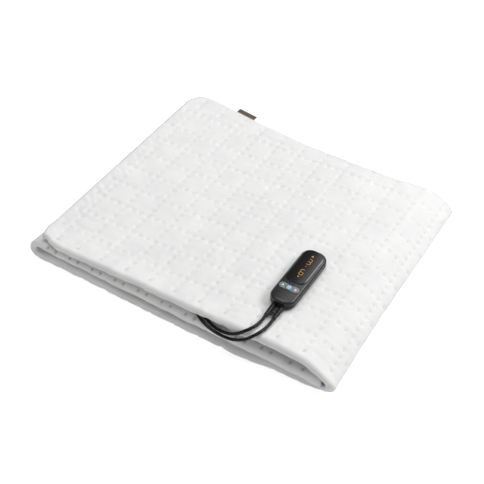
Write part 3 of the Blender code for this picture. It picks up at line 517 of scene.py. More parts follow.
dark, less_gloss = (0.014, 0.014, 0.015, 1.0), {"Specular IOR Level": 0.3}
base_plastic = grained("dark soft-touch plastic", dark, 1300.0, 0.3, 0.34, 0.46, less_gloss)
low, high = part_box("controller_base")
base = slab("controller_tray", low, high, OUTLINE, base_plastic, rim=0.0005, foot=0.0045, rounds=16)
centre_x, centre_y = (low.x + high.x) / 2, (low.y + high.y) / 2
for x in (centre_x - WELL_ASIDE, centre_x + WELL_ASIDE):
    for y in (low.y + WELL_FROM_END, high.y - WELL_FROM_END):
        foot_corner = (x - WELL_RADIUS, y - WELL_RADIUS, low.z - SUNK)
        head_corner = (x + WELL_RADIUS, y + WELL_RADIUS, low.z + WELL_DEPTH)
        cut(base, slab("screw_well", foot_corner, head_corner, (WELL_RADIUS - HAIR,) * 4, rounds=6))
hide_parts("controller_base")
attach(base, "folded_blanket")

# ------------------------------------------------------------------------------ Controller shell
# The upper half, moulded in satin grey plastic and slightly crowned. It has a recess for the display
# cover, and a pill-shaped well for the keys.
SHELL_CROWN = 0.0015
WINDOW_CORNERS = (0.011, 0.011, 0.012, 0.012)
WINDOW_GAP = 0.0003
KEYPAD_HALF, KEYPAD_END = 0.0158, 0.0058
KEY_WELL = 0.0034
ABOVE = 0.004


def bisect(normal, place):
    """Cuts the mesh in edit mode across a normal."""
    select_mesh()
    bpy.ops.mesh.bisect(plane_co=[place * part for part in normal], plane_no=normal)


def crowned(piece, low, high, drop, bands=6):
    """Bends a piece's top down towards its two long sides: it is cut into bands, and each is lowered."""
    bpy.context.view_layer.objects.active = piece
    bpy.ops.object.mode_set(mode="EDIT")
    half, middle = (high.x - low.x) / 2, (low.x + high.x) / 2
    for share in np.linspace(-1, 1, 2 * bands + 1)[1:-1]:
        bisect((1.0, 0.0, 0.0), middle + half * share)
    bpy.ops.mesh.select_all(action="DESELECT")
    cage = bmesh.from_edit_mesh(piece.data)
    waist = (low.z + high.z) / 2
    for vertex in cage.verts:
        if vertex.co.z > waist:
            share = (vertex.co.x - middle) / half
            vertex.co.z -= drop * share * share
    bmesh.update_edit_mesh(piece.data)
    smooth(piece)


satin = grained("satin grey plastic", (0.022, 0.0223, 0.023, 1.0), 2200.0, 0.08, 0.25, 0.32)
low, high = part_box("controller_shell")
window_low, window_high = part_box("display_window")
shell = slab("controller_cover", low, high, OUTLINE, satin, rim=0.004, rounds=16, rim_rounds=8)
crowned(shell, low, high, SHELL_CROWN)
gap = Vector((WINDOW_GAP,) * 3)
over_window = (window_high.x + WINDOW_GAP, window_high.y + WINDOW_GAP, high.z + ABOVE)
recess = slab("window_recess", window_low - gap, over_window, WINDOW_CORNERS)
key_low, key_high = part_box("key_middle")
pad_y = (key_low.y + key_high.y) / 2
foot_corner = (centre_x - KEYPAD_HALF, pad_y - KEYPAD_END, high.z - KEY_WELL)
head_corner = (centre_x + KEYPAD_HALF, pad_y + KEYPAD_END, high.z + ABOVE)
cut(shell, recess, slab("key_well", foot_corner, head_corner, (KEYPAD_END - HAIR,) * 4))
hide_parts("controller_shell")
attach(shell, "folded_blanket")

# ------------------------------------------------------------------------------- Display window
# A smoked glossy cover that stands a little proud of the shell, with a narrow polished chamfer on each
# long side. Amber figures show through it: two digits of seven bars, a mark between them and a triangle
# at each end.
WINDOW_CROWN = 0.0007
CHAMFER, CHAMFER_SLOPE = 0.0018, 0.49
CHAMFER_CUTS = 22
COVER_HAZE, RIM_HAZE = (0.20, 0.24), (0.10, 0.13)
FIGURE_LIFT = 0.00006
BAR_WIDTH = 0.0009
DIGIT_WIDTH, DIGIT_HEIGHT = 0.0052, 0.0112
DIGITS = (
    # bars, centre x and centre y from the controller's middle
    ("agdbc", 0.0005, 0.0296),
    ("afgedc", 0.0011, 0.0063),
)
MIDDLE_MARK = (0.0006, 0.0192, 0.0020)  # x, y and length
TRIANGLES = (
    # x, y, radius, and whether it points to the rear
    (-0.0004, 0.0413, 0.0024, True),
    (0.0006, -0.0035, 0.0017, False),
)


def smoked_plastic(name, haze):
    """Dark clear plastic whose gloss wanders between two values of roughness."""
    finish, shader, tree = new_finish(name, (0.003, 0.003, 0.0035, 1.0), {"IOR": 1.52})
    where, drift = add(tree, "TexCoord"), add(tree, "TexNoise", {"Scale": 160.0})
    span = add(tree, "MapRange", {"To Min": haze[0], "To Max": haze[1]})
    wire(
        tree,
        (where, "Object", drift, "Vector"),
        (drift, "Fac", span, "Value"),
        (span, "Result", shader, "Roughness"),
    )
    return finish


window = slab(
    "display_cover",
    window_low,
    window_high,
    WINDOW_CORNERS,
    smoked_plastic("smoked display cover", COVER_HAZE),
    rim=0.0003,
    rounds=16,
    rim_rounds=2,
)
crowned(window, window_low, window_high, WINDOW_CROWN, bands=5)
window_half, waist = (window_high.x - window_low.x) / 2, (window_low.z + window_high.z) / 2
face_half = window_half - CHAMFER
bpy.ops.object.mode_set(mode="EDIT")
for x in (centre_x - face_half, centre_x + face_half):
    bisect((1.0, 0.0, 0.0), x)
for y in np.linspace(window_low.y, window_high.y, CHAMFER_CUTS + 2)[1:-1]:
    bisect((0.0, 1.0, 0.0), y)
bpy.ops.mesh.select_all(action="DESELECT")
cage = bmesh.from_edit_mesh(window.data)
for vertex in cage.verts:
    over = abs(vertex.co.x - centre_x) - face_half
    if over > 0 and vertex.co.z > waist:
        vertex.co.z -= over * CHAMFER_SLOPE
for face in cage.faces:
    centre = face.calc_center_median()
    if abs(centre.x - centre_x) > face_half and centre.z > waist:
        face.material_index = 1
bmesh.update_edit_mesh(window.data)
smooth(window, 20.0)
window.data.materials.append(smoked_plastic("polished cover rim", RIM_HAZE))
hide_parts("display_window")
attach(window, "folded_blanket")

glow = {"Emission Color": (0.55, 0.27, 0.045, 1.0), "Emission Strength": 0.62, "Roughness": 0.3}
amber = new_finish("amber figures", (0.30, 0.15, 0.02, 1.0), glow)[0]


def window_face(x):
    """The height of the cover's crowned face."""
    return window_high.z - WINDOW_CROWN * ((x - centre_x) / window_half) ** 2


def bar_shape(x, y, length, lies_across):
    """One bar of a digit, pointed at both ends."""
    start_disc("bar", (x, y, window_face(x) + FIGURE_LIFT), BAR_WIDTH / 2, 6)
    reach = length / 2 - BAR_WIDTH / 2
    axis = Vector((1.0, 0.0, 0.0) if lies_across else (0.0, 1.0, 0.0))
    for side in (-1, 1):
        pick("verts", lambda co: (co - Vector((x, y, 0.0))).dot(axis) * side > BAR_WIDTH * 0.2)
        bpy.ops.transform.translate(value=axis * side * reach)
    select_mesh()
    extrude(0.0, 0.0, -2 * FIGURE_LIFT)
    return end_shape(amber)


def triangle(name, centre, radius, to_rear, material, thick):
    """A small triangle mark that points to the rear or to the front."""
    start_disc(name, centre, radius, 3, (0.0, 0.0, 0.0 if to_rear else math.pi))
    bpy.ops.mesh.bevel(offset=radius * 0.15, segments=2, affect="VERTICES")
    select_mesh()
    extrude(0.0, 0.0, -thick)
    return end_shape(material)


figures = []
side, quarter = DIGIT_WIDTH / 2, DIGIT_HEIGHT / 4
BARS = {
    # x, y, length, and whether it lies across
    "a": (0.0, 2 * quarter, DIGIT_WIDTH, True),
    "g": (0.0, 0.0, DIGIT_WIDTH, True),
    "d": (0.0, -2 * quarter, DIGIT_WIDTH, True),
    "f": (-side, quarter, 2 * quarter, False),
    "b": (side, quarter, 2 * quarter, False),
    "e": (-side, -quarter, 2 * quarter, False),
    "c": (side, -quarter, 2 * quarter, False),
}
for letters, digit_x, digit_y in DIGITS:
    for letter in letters:
        x, y, length, lies_across = BARS[letter]
        x, y = x + centre_x + digit_x, y + centre_y + digit_y
        figures.append(bar_shape(x, y, length - BAR_WIDTH / 2, lies_across))
for x, y, radius, to_rear in TRIANGLES:
    centre = (centre_x + x, centre_y + y, window_face(centre_x + x) + FIGURE_LIFT)
    figures.append(triangle("mark", centre, radius, to_rear, amber, 2 * FIGURE_LIFT))
x, y, length = MIDDLE_MARK
figures.append(bar_shape(centre_x + x, centre_y + y, length, True))
display = join(*figures)
display.name = display.data.name = "display_figures"
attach(display, "folded_blanket")

# ----------------------------------------------------------------------------------------- Keys
# Three keys of pale translucent plastic in one pill-shaped pad: a round one in the middle, with a lens
# lit blue and a ring on it, and one at each side with a white arrowhead. Each is pressed on its own.
ICON = 0.00008
KEY_GAP, KEY_RIM, KEY_SIDES = 0.0004, 0.0005, 48
MIDDLE_KEY_RADIUS, LENS_RADIUS = 0.0051, 0.0040
RING_RADIUS, RING_WIDTH = 0.0022, 0.0006
ARROW_ASIDE, ARROW_RADIUS = 0.0098, 0.0021

glow = {"Emission Color": (0.10, 0.42, 0.52, 1.0), "Emission Strength": 0.28}
key_grey = grained("pale grey key", (0.20, 0.203, 0.207, 1.0), 1500.0, 0.12, 0.30, 0.40)
key_blue = grained("lit blue key", (0.09, 0.33, 0.40, 1.0), 1500.0, 0.08, 0.22, 0.30, glow)
icon_white = grained("white printing", (0.82, 0.83, 0.88, 1.0), 1500.0, 0.05, 0.45, 0.55)

for node, body, side in (("key_left", "left_key", -1), ("key_right", "right_key", 1)):
    low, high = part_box(node)
    end = (high.y - low.y) / 2 - HAIR
    corners = (end, 0.0, 0.0, end) if side < 0 else (0.0, end, end, 0.0)
    key = slab(node + "_cap", low, high, corners, key_grey, rim=KEY_RIM, rim_rounds=3)
    deselect_all()
    centre, radius = (centre_x, pad_y, high.z), MIDDLE_KEY_RADIUS + KEY_GAP
    bpy.ops.mesh.primitive_cylinder_add(vertices=KEY_SIDES, radius=radius, depth=0.02, location=centre)
    cut(key, bpy.context.object)
    centre = (centre_x + side * ARROW_ASIDE, pad_y, high.z + ICON)
    join(key, triangle("arrowhead", centre, ARROW_RADIUS, side < 0, icon_white, 2 * ICON))
    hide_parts(node)
    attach(key, body)

low, high = key_low, key_high
start_disc("key_middle_cap", (centre_x, pad_y, low.z), MIDDLE_KEY_RADIUS, KEY_SIDES)
extrude(0.0, 0.0, high.z - low.z)
pick("edges", lambda co: abs(co.z - high.z) < NEAR)
bpy.ops.mesh.bevel(offset=KEY_RIM, segments=4, affect="EDGES")
middle_key = end_shape(key_grey)
start_disc("blue_lens", (centre_x, pad_y, high.z - ICON), LENS_RADIUS, KEY_SIDES)
extrude(0.0, 0.0, 2 * ICON)
lens = end_shape(key_blue)
start_disc("ring_mark", (centre_x, pad_y, high.z), RING_RADIUS, 32)
bpy.ops.mesh.inset(thickness=RING_WIDTH)
bpy.ops.mesh.delete(type="FACE")
select_mesh()
extrude(0.0, 0.0, 2 * ICON)
join(middle_key, lens, end_shape(icon_white))
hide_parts("key_middle")
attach(middle_key, "middle_key")

# -------------------------------------------------------------------------------------- Blanket
# One cloth of white fleece, brushed on both faces over thin wadding, and tacked into squares by rows of
# pin-points. It is folded in half, with that fold in front and both hems behind, and then in three.
CLOTH = 6.0
PANEL_GAP = 0.9
PANEL = 13.6
TOP_EDGE = 11.5
EDGE_DRAW, EDGE_DRAW_FADE, EDGE_DRAW_SPREAD = 7.0, 28.0, 40.0
MIDDLE_EDGE = 463.0
MIDDLE_FREE = 400.0
MIDDLE_SLANT = 10.0
UPPER_DRAW, LOWER_DRAW = 18.5, 12.0
LEFT_TURN = 15.0
RIGHT_TURN = 447.0
LEFT_LEAVES_APART = 1.6
HOLLOW, HOLLOW_REACH = 6.0, 22.0
CORNER = 28.0
OUTER_FOLD_REACH = 42.7
INNER_FOLD_REACH = 31.0
LEFT_FLARE, OUTER_FLARE, INNER_FLARE = 4.2, 3.8, 7.0
FLARE_FADE = 75.0
FOLD_LEAN = 0.55
NOSE_FLAT = 8.0
NOSE_FADE = 26.0
FRONT = (
    # x, bottom panel, middle panel, slot at the front, top panel, slot further in, top's setback
    (0, 17.5, 12.6, 0.9, 13.8, 0.9, 11.0),
    (18, 17.6, 12.7, 0.9, 13.8, 0.9, 9.6),
    (34, 18.0, 13.2, 0.9, 13.8, 0.9, 4.2),
    (60, 18.5, 13.8, 0.9, 13.8, 0.9, 2.5),
    (120, 17.0, 15.5, 1.0, 14.0, 0.9, 3.6),
    (200, 14.0, 21.0, 1.2, 14.2, 2.9, 4.2),
    (250, 13.6, 21.2, 2.2, 14.2, 6.8, 3.8),
    (290, 14.5, 18.3, 6.8, 14.3, 10.2, 3.2),
    (320, 15.0, 17.5, 6.8, 14.6, 12.8, 4.0),
    (360, 15.0, 18.0, 6.9, 15.3, 14.4, 4.3),
    (410, 14.5, 19.0, 8.6, 15.6, 14.4, 4.4),
    (450, 13.8, 17.2, 9.2, 14.4, 14.4, 5.0),
    (500, 12.8, 16.2, 8.0, 14.0, 14.4, 4.0),
)
MIDDLE_SETBACK = 2.6
BOTTOM_FRONT = (
    # x, the bottom panel's setback
    (0, 0.4), (340, 0.4), (375, 1.6), (400, 5.0), (430, 7.0), (500, 7.5),
)
BACK = (
    # x, where the hem lies
    (0, 436.0), (50, 434.5), (90, 430.0), (135, 424.0), (190, 418.2), (240, 411.0), (290, 406.0),
    (340, 403.0), (385, 404.0), (430, 408.5), (450, 411.5), (470, 418.0), (490, 422.0), (510, 422.0),
)
LOWER_LEAF_BACK = 3.0
BACK_NOMINAL = 412.0
BACK_EASE = 357.0
HEM_PINCH = 0.45
HEM_FADE = 3.5
ORIGIN = np.array((248.85, 220.4, 0.0))

# Quilting: lines of pin-points every pitch, both ways, with three pin-points to a pitch.
LINES_FROM_X = 38.0
PITCH = 40.9
LINE_STEPS, PIN_STEPS = 15, 5
STEP = PITCH / LINE_STEPS
FIRST_LINE_Y = 50.5
LINE_DEPTH, LINE_WIDTH = 0.12, 6.0
PIN_DEPTH, PIN_WIDTH = 1.7, 3.0
FRONT_PIN_WIDTH = 2.2
# how strongly the quilted faces' pin-points are darkened with painted shade
FACE_PIN_PAINTED_SHADE = 0.45
STRIP_PIN_WIDTH = 3.4
RIM_RISE, RIM_AWAY, RIM_WIDTH = 0.30, 5.6, 2.6
PUFF_RISE = 0.30
FOLD_PINS_FROM, FOLD_PINS_PITCH, FOLD_PINS_COUNT = 38.4, 39.85, 11
FOLD_STEP = FOLD_PINS_PITCH / 11
BOTTOM_PIN_ASIDE, BOTTOM_PIN_UP = 14.0, 40
FOLD_PINS = (
    # x, and how far up the middle panel's front fold the pair of pin-points is, in degrees
    (38.4, 47.0), (157.0, 47.0), (276.0, 48.0), (316.0, 56.0), (356.0, 66.0), (396.0, 78.0),
    (440.0, 82.0),
)
STRIP_PINS = (16.5, 15.0, 16.0, 19.0, 19.5, 19.0, 19.3, 20.0, 21.0, 21.5, 21.0)
DIM_PIN = 0.8

# Creases of the top panel, listed one by one: soft troughs with a low ridge on each side. They are
# deepest in the middle of their length.
CREASE_END = 0.12
RIDGE_HEIGHT, RIDGE_AWAY = 0.35, 1.9
CREASES = (
    # depth, width, then points as x, y
    (1.3, 3.5, (33, 59), (55, 57), (81, 57.5)),
    (1.0, 6.0, (61, 42), (105, 40), (159, 37)),
    (0.8, 3.0, (34, 83), (50, 77), (72, 80)),
    (0.8, 3.5, (40, 405), (86, 404), (136, 396)),
    (0.9, 4.0, (152, 398), (197, 391), (237, 402), (248, 409)),
    (1.1, 5.0, (268, 399), (308, 395), (359, 391), (419, 388)),
    (0.9, 3.5, (338, 399), (389, 397), (440, 394)),
    (0.8, 3.0, (414, 404), (438, 400), (455, 391)),
    (0.7, 2.6, (60, 398), (70, 388), (67, 378)),
    (0.7, 2.6, (95, 396), (110, 386), (128, 384)),
    (0.7, 2.6, (212, 396), (222, 386), (240, 384)),
    (0.8, 3.0, (333, 206), (341, 198), (349, 190)),
    (0.7, 2.6, (328, 156), (338, 150), (347, 146)),
    (0.7, 2.6, (318, 131), (330, 124), (341, 116)),
    (0.6, 2.6, (322, 100), (332, 104), (346, 103)),
    (0.7, 2.6, (362, 208), (376, 214), (392, 210)),
    (0.6, 2.6, (135, 288), (147, 282), (158, 272)),
    (0.5, 2.4, (96, 300), (108, 292), (112, 281)),
    (0.5, 2.4, (205, 330), (220, 326), (236, 330)),
    (0.5, 2.4, (258, 248), (270, 240), (280, 226)),
    (0.6, 2.6, (250, 120), (262, 112), (270, 98)),
    (0.5, 2.4, (168, 150), (182, 158), (196, 156)),
    (0.6, 2.6, (404, 186), (416, 178), (428, 180)),
    (0.6, 2.6, (408, 110), (420, 118), (436, 116)),
    (0.5, 2.4, (402, 300), (414, 310), (430, 308)),
    (0.5, 2.4, (300, 340), (312, 348), (330, 345)),
)
EDGE_WRINKLES = (
    # the bound left edge is a little tight, and draws short slanting wrinkles: y, run, slant, depth
    (62, 20, -9, 0.9), (76, 17, 6, 0.7), (91, 22, -12, 1.0), (108, 16, -6, 0.7), (124, 20, -14, 0.9),
    (143, 18, -11, 1.0), (158, 22, -16, 0.8), (181, 16, -10, 0.7), (203, 21, -13, 0.9),
    (222, 15, -5, 0.6), (246, 20, -12, 0.8), (269, 17, -9, 0.7), (292, 20, -13, 0.8), (318, 15, 7, 0.6),
    (341, 19, -10, 0.7), (366, 16, -8, 0.6), (388, 18, 9, 0.7),
)
WRINKLES_FROM, WRINKLE_WIDTH = 13, 2.6
WRINKLE = ((0, 0), (0.5, 0.35), (1, 1))  # points, as shares of the run and of the slant

# Lumps and puckers: height, size, seed, and how far the noise is shifted across and down.
LUMPS, SMALL_LUMPS = (0.34, 13.0, 11, 900, 300), (0.22, 6.5, 5, 500, 900)
SWELL = (0.5, 34.0, 23, 700, 400)
PUCKERS, LONG_PUCKERS = (0.42, 8.5, 41, 60, 90), (0.30, 11.0, 43, 350, 40)
UNEVEN_RIMS = (1.1, 5.4, 31, 200, 700)
LUMP_SINK, LUMP_LIMIT, HIDDEN_LUMPS = 0.35, 0.3, 0.35
PUCKER_SINK, PUCKER_LIMIT, TOP_PUCKERS, OTHER_PUCKERS = 0.2, 0.45, 1.9, 1.3
# Under the controller: middle, half size and fade across, then down.
PRESSED = ((382.0, 17.0, 7.0), (115.0, 62.0, 8.0))
FAR, NO_LINE = 1e9, -9999.0


def along(table, column, x):
    """A column of a table read at x, along a smooth curve through its rows."""
    knots, values = np.array(table, float)[:, [0, column]].T
    last = len(knots) - 1
    before, after = np.maximum(np.arange(last + 1) - 1, 0), np.minimum(np.arange(last + 1) + 1, last)
    slopes = (values[after] - values[before]) / (knots[after] - knots[before])
    x = np.clip(x, knots[0], knots[-1])
    i = np.clip(np.searchsorted(knots, x) - 1, 0, last - 1)
    span = knots[i + 1] - knots[i]
    t = (x - knots[i]) / span
    curve = values[i] + (values[i + 1] - values[i]) * t * t * (3 - 2 * t)
    return curve + span * t * (1 - t) * ((1 - t) * slopes[i] - t * slopes[i + 1])


def fading(values):
    return np.exp(-np.square(values))


def panel_levels(x, v):
    """The heights of the panels' faces: bottom's top, middle's two and top's two."""
    share = fading(np.maximum(v - NOSE_FLAT, 0.0) / NOSE_FADE)
    throat = HOLLOW * fading((x - LEFT_TURN) / HOLLOW_REACH) * share
    bottom_top = PANEL + (along(FRONT, 1, x) - throat / 2 - PANEL) * share
    middle_low = bottom_top + PANEL_GAP + throat
    middle_top = middle_low + PANEL + (along(FRONT, 2, x) - PANEL) * share
    inside = along(FRONT, 5, x)
    top_low = middle_top + inside + (along(FRONT, 3, x) - inside) * share
    top_top = top_low + PANEL + (along(FRONT, 4, x) - PANEL) * share
    return bottom_top, middle_low, middle_top, top_low, top_top


def right_fold(reach, low, high, angle):
    x = RIGHT_TURN + reach * np.cos(angle) * (1 - FOLD_LEAN * np.sin(angle))
    return x, low + (high - low) * (1 + np.sin(angle)) / 2


def left_fold(reach, low, high, angle):
    return LEFT_TURN - reach * np.cos(angle), low + (high - low) * (1 + np.sin(angle)) / 2


def leaves(part, place, v):
    """Middles of the outer and the inner leaf as (x, z), at these places and this far from the front."""
    half = CLOTH / 2
    at = {"left": LEFT_TURN, "right": RIGHT_TURN}.get(part, place)
    flare = fading(v / FLARE_FADE)
    bottom_top, middle_low, middle_top, top_low, top_top = panel_levels(at + 0 * v, v)
    if part == "middle":
        near = np.maximum(0.0, (place - MIDDLE_FREE) / (MIDDLE_EDGE - MIDDLE_FREE)) ** 2
        lower = place + near * (MIDDLE_SLANT + LOWER_DRAW * flare)
        return (place + near * UPPER_DRAW * flare, middle_top - half), (lower, middle_low + half)
    if part == "left":
        reach = LEFT_TURN - half + LEFT_FLARE * flare
        outer = left_fold(reach, half, middle_top - half, place)
        reach = reach - CLOTH - LEFT_LEAVES_APART
        return outer, left_fold(reach, bottom_top - half, middle_low + half, place)
    if part == "bottom":
        return (place + 0 * v, half + 0 * v), (place + 0 * v, bottom_top - half)
    if part == "right":
        outer = right_fold(OUTER_FOLD_REACH + OUTER_FLARE * flare, half, top_top - half, place)
        reach = INNER_FOLD_REACH + INNER_FLARE * flare
        return outer, right_fold(reach, bottom_top - half, top_low + half, place)
    x = place + EDGE_DRAW * fading(v / EDGE_DRAW_FADE) * fading((place - TOP_EDGE) / EDGE_DRAW_SPREAD)
    return (x, top_top - half), (x, top_low + half)


def setbacks(part, place):
    """How far behind the front line each column's fold starts."""
    if part == "middle":
        return np.full_like(place, MIDDLE_SETBACK)
    if part == "bottom":
        return along(BOTTOM_FRONT, 1, place)
    if part == "top":
        return along(FRONT, 6, place)
    low, high = along(BOTTOM_FRONT, 1, LEFT_TURN), MIDDLE_SETBACK
    if part == "right":
        low, high = along(BOTTOM_FRONT, 1, RIGHT_TURN), along(FRONT, 6, RIGHT_TURN)
    return low + (high - low) * (1 + np.sin(place)) / 2


def hem_lies(part, place, x):
    """Where each column's hem lies, rounded at the cloth's two free corners."""
    inwards = {"top": place - TOP_EDGE, "middle": MIDDLE_EDGE - place}.get(part, CORNER + 0 * place)
    short = CORNER - np.minimum(inwards, CORNER)
    return along(BACK, 1, x) - CORNER + np.sqrt(CORNER**2 - short**2)


# Rows run along a column from the outer leaf's hem, round the front fold, to the inner leaf's hem.
STRIP_START = FIRST_LINE_Y - 7 * STEP
STRIP_ROWS = 7
NOSE_ROWS = 12
INNER_ROWS = (STRIP_START, 50.0, 75.0, 110.0, 160.0, 210.0, 260.0, 310.0, 350.0, 372.0, 390.0, 402.0)
HEM_ROWS = (408.0, 410.0, 412.0)
SPARSE_FROM, SPARSE_TO = 62, 400
rows = [("outer", v, None) for v in HEM_ROWS[:0:-1]]
rows += [("outer", FIRST_LINE_Y + j * STEP, j) for j in np.arange(131, -8, -1)]
rows += [("outer_strip", 1 - k / STRIP_ROWS, -7 - k) for k in range(1, STRIP_ROWS)]
rows += [("nose", math.pi / 2 - math.pi * k / NOSE_ROWS, None) for k in range(NOSE_ROWS + 1)]
rows += [("inner_strip", k / 4, None) for k in range(1, 4)]
rows += [("inner", v, None) for v in INNER_ROWS + HEM_ROWS]
hidden_rows = [
    i
    for i, (kind, value, j) in enumerate(rows)
    if kind != "outer" or j is None or j % PIN_STEPS == 0 or value < SPARSE_FROM or value > SPARSE_TO
]

# Columns run round the letter fold, from the middle panel's free edge to the top panel's.
angles = np.linspace(-math.pi / 2, math.pi / 2, 400)
arc = walked_along(np.stack(leaves("right", angles, np.full(400, 200.0))[0], axis=1))
fold_lines = np.arange(math.floor(arc[-1] / STEP) - 1, 0, -1)
right_angles = np.interp(arc[-1] - fold_lines * STEP, arc, angles)
middle_places = FOLD_PINS_FROM + FOLD_STEP * np.arange(116, -7, -1)
middle_places = np.concatenate([[MIDDLE_EDGE, 461.4, 459.6], middle_places, [LEFT_TURN]])
bottom_places = FOLD_PINS_FROM + FOLD_STEP * np.arange(-6, 112)
top_lines = np.arange(150, -10, -1)
parts = (
    ("middle", middle_places, None),
    ("left", np.linspace(math.pi / 2, -math.pi / 2, 15)[1:-1], None),
    ("bottom", np.concatenate([[LEFT_TURN], bottom_places, [444.0, RIGHT_TURN]]), None),
    ("right", right_angles, 150 + fold_lines),
    ("top", LINES_FROM_X + top_lines * STEP, top_lines),
    ("top", np.array([12.6, TOP_EDGE]), None),
)


def middle_surface(part, place):
    """The middle of the cloth: points by column and row, in millimetres."""
    column = []
    (x1, z1), (x2, z2) = leaves(part, place, np.full_like(place, NOSE_FLAT))
    radius = np.hypot(x1 - x2, z1 - z2) / 2
    nose_y = setbacks(part, place) + CLOTH / 2 + radius
    for kind, value, _ in rows:
        side = 0 if kind.startswith("outer") else 1
        if kind == "nose":
            lift = math.sin(value)
            y = nose_y - radius * math.cos(value)
            column.append((((x1 + x2) + (x1 - x2) * lift) / 2, y, ((z1 + z2) + (z1 - z2) * lift) / 2))
        elif kind.endswith("strip"):
            y = nose_y + (STRIP_START - nose_y) * value
            reading = NOSE_FLAT + (STRIP_START - NOSE_FLAT) * value
            x, z = leaves(part, place, np.full_like(place, reading))[side]
            column.append((x, y, z))
        else:
            x = leaves(part, place, np.full_like(place, value))[side][0]
            y = np.full_like(place, value)
            if value > BACK_EASE:
                hem = hem_lies(part, place, x) + LOWER_LEAF_BACK * side
                y = BACK_EASE + (value - BACK_EASE) * (hem - BACK_EASE) / (BACK_NOMINAL - BACK_EASE)
            x, z = leaves(part, place, y)[side]
            column.append((x, y, z))
    return np.stack([np.stack(point, axis=-1) for point in column], axis=1)


middle = np.concatenate([middle_surface(part, place) for part, place, _ in parts])
part_names = np.concatenate([[part] * len(place) for part, place, _ in parts])
places = np.concatenate([place for _, place, _ in parts])
column_lines = np.concatenate(
    [np.full(len(place), NO_LINE) if lines is None else lines for _, place, lines in parts]
).astype(float)
row_lines = np.array([NO_LINE if j is None else j for _, _, j in rows], float)
row_kinds = np.array([kind for kind, _, _ in rows])


def noise(a, b, share, size, seed, shift_a, shift_b):
    """Smooth noise over two coordinates, up to its share either way, in lumps of about this size."""
    table = np.random.default_rng(seed).uniform(-1.0, 1.0, (257, 257))
    a, b = (a + shift_a) / size, (b + shift_b) / size
    i, j = np.floor(a).astype(int), np.floor(b).astype(int)
    s, t = a - i, b - j
    s, t = s * s * (3 - 2 * s), t * t * (3 - 2 * t)
    near = table[i % 256, j % 256] * (1 - s) + table[(i + 1) % 256, j % 256] * s
    far = table[i % 256, (j + 1) % 256] * (1 - s) + table[(i + 1) % 256, (j + 1) % 256] * s
    return share * (near * (1 - t) + far * t)


def crease_field(x, y, depth, width, points):
    """One crease as a height: a trough along a line of points, which fades at its ends, with a low
    ridge on each side."""
    best = np.full(x.shape, FAR)
    faded = np.zeros(x.shape)
    spans = [math.dist(a, b) for a, b in zip(points, points[1:])]
    walked = 0.0
    for (ax, ay), (bx, by), span in zip(points, points[1:], spans):
        t = np.clip(((x - ax) * (bx - ax) + (y - ay) * (by - ay)) / span**2, 0.0, 1.0)
        away = np.hypot(x - ax - t * (bx - ax), y - ay - t * (by - ay))
        share = (walked + t * span) / sum(spans)
        closer = away < best
        best = np.where(closer, away, best)
        faded = np.where(closer, np.sin(math.pi * (CREASE_END + (1 - 2 * CREASE_END) * share)), faded)
        walked += span
    ridge = RIDGE_HEIGHT * fading((best - RIDGE_AWAY * width) / width)
    return depth * faded * (ridge - fading(best / width))


def away_from(steps, every):
    """Distance in millimetres to the nearest line of those that come every so many steps."""
    return np.abs((steps + every / 2) % every - every / 2) * STEP


def quilting(columns, row_steps):
    """Height of the quilted face over its flat one, and how near each point is to a pin-point."""
    across, down = columns[:, None] + 0 * row_steps, 0 * columns[:, None] + row_steps
    dx, dy = away_from(across, LINE_STEPS), away_from(down, LINE_STEPS)
    pin_dx, pin_dy = away_from(across, PIN_STEPS), away_from(down, PIN_STEPS)
    pin_away = np.minimum(np.hypot(dx, pin_dy), np.hypot(dy, pin_dx))
    valley = 1 - (1 - fading(dx / LINE_WIDTH)) * (1 - fading(dy / LINE_WIDTH))
    puff = np.sin(math.pi * across / LINE_STEPS) ** 2 * np.sin(math.pi * down / LINE_STEPS) ** 2
    rims = RIM_RISE * fading((pin_away - RIM_AWAY) / RIM_WIDTH)
    return PUFF_RISE * (puff - 1) - LINE_DEPTH * valley, fading(pin_away / PIN_WIDTH), rims


height, pins, rims, creases = (np.zeros(middle.shape[:2]) for _ in range(4))
quilted_columns, quilted_rows = column_lines > NO_LINE, row_lines > NO_LINE
chosen = np.ix_(quilted_columns, quilted_rows)
height[chosen], pins[chosen], rims[chosen] = quilting(
    column_lines[quilted_columns], row_lines[quilted_rows]
)

# Each square sits a little differently: its own height, tilt and small lumps.
x, y = middle[..., 0], middle[..., 1]
u = np.where(quilted_columns[:, None], column_lines[:, None] * STEP + LINES_FROM_X, x)
lumps = noise(u, y, *LUMPS) + noise(u, y, *SMALL_LUMPS) + noise(u, y, *SWELL)
on_top = (part_names == "top")[:, None] & np.isin(row_kinds, ("outer", "outer_strip"))[None, :]
for depth, width, *line in CREASES:
    creases += crease_field(x, y, depth, width, line)
for edge_y, run, slant, depth in EDGE_WRINKLES:
    line = [(WRINKLES_FROM + run * share, edge_y + slant * bent) for share, bent in WRINKLE]
    creases += crease_field(x, y, depth, WRINKLE_WIDTH, line)
creases = np.where(on_top, creases, 0.0)

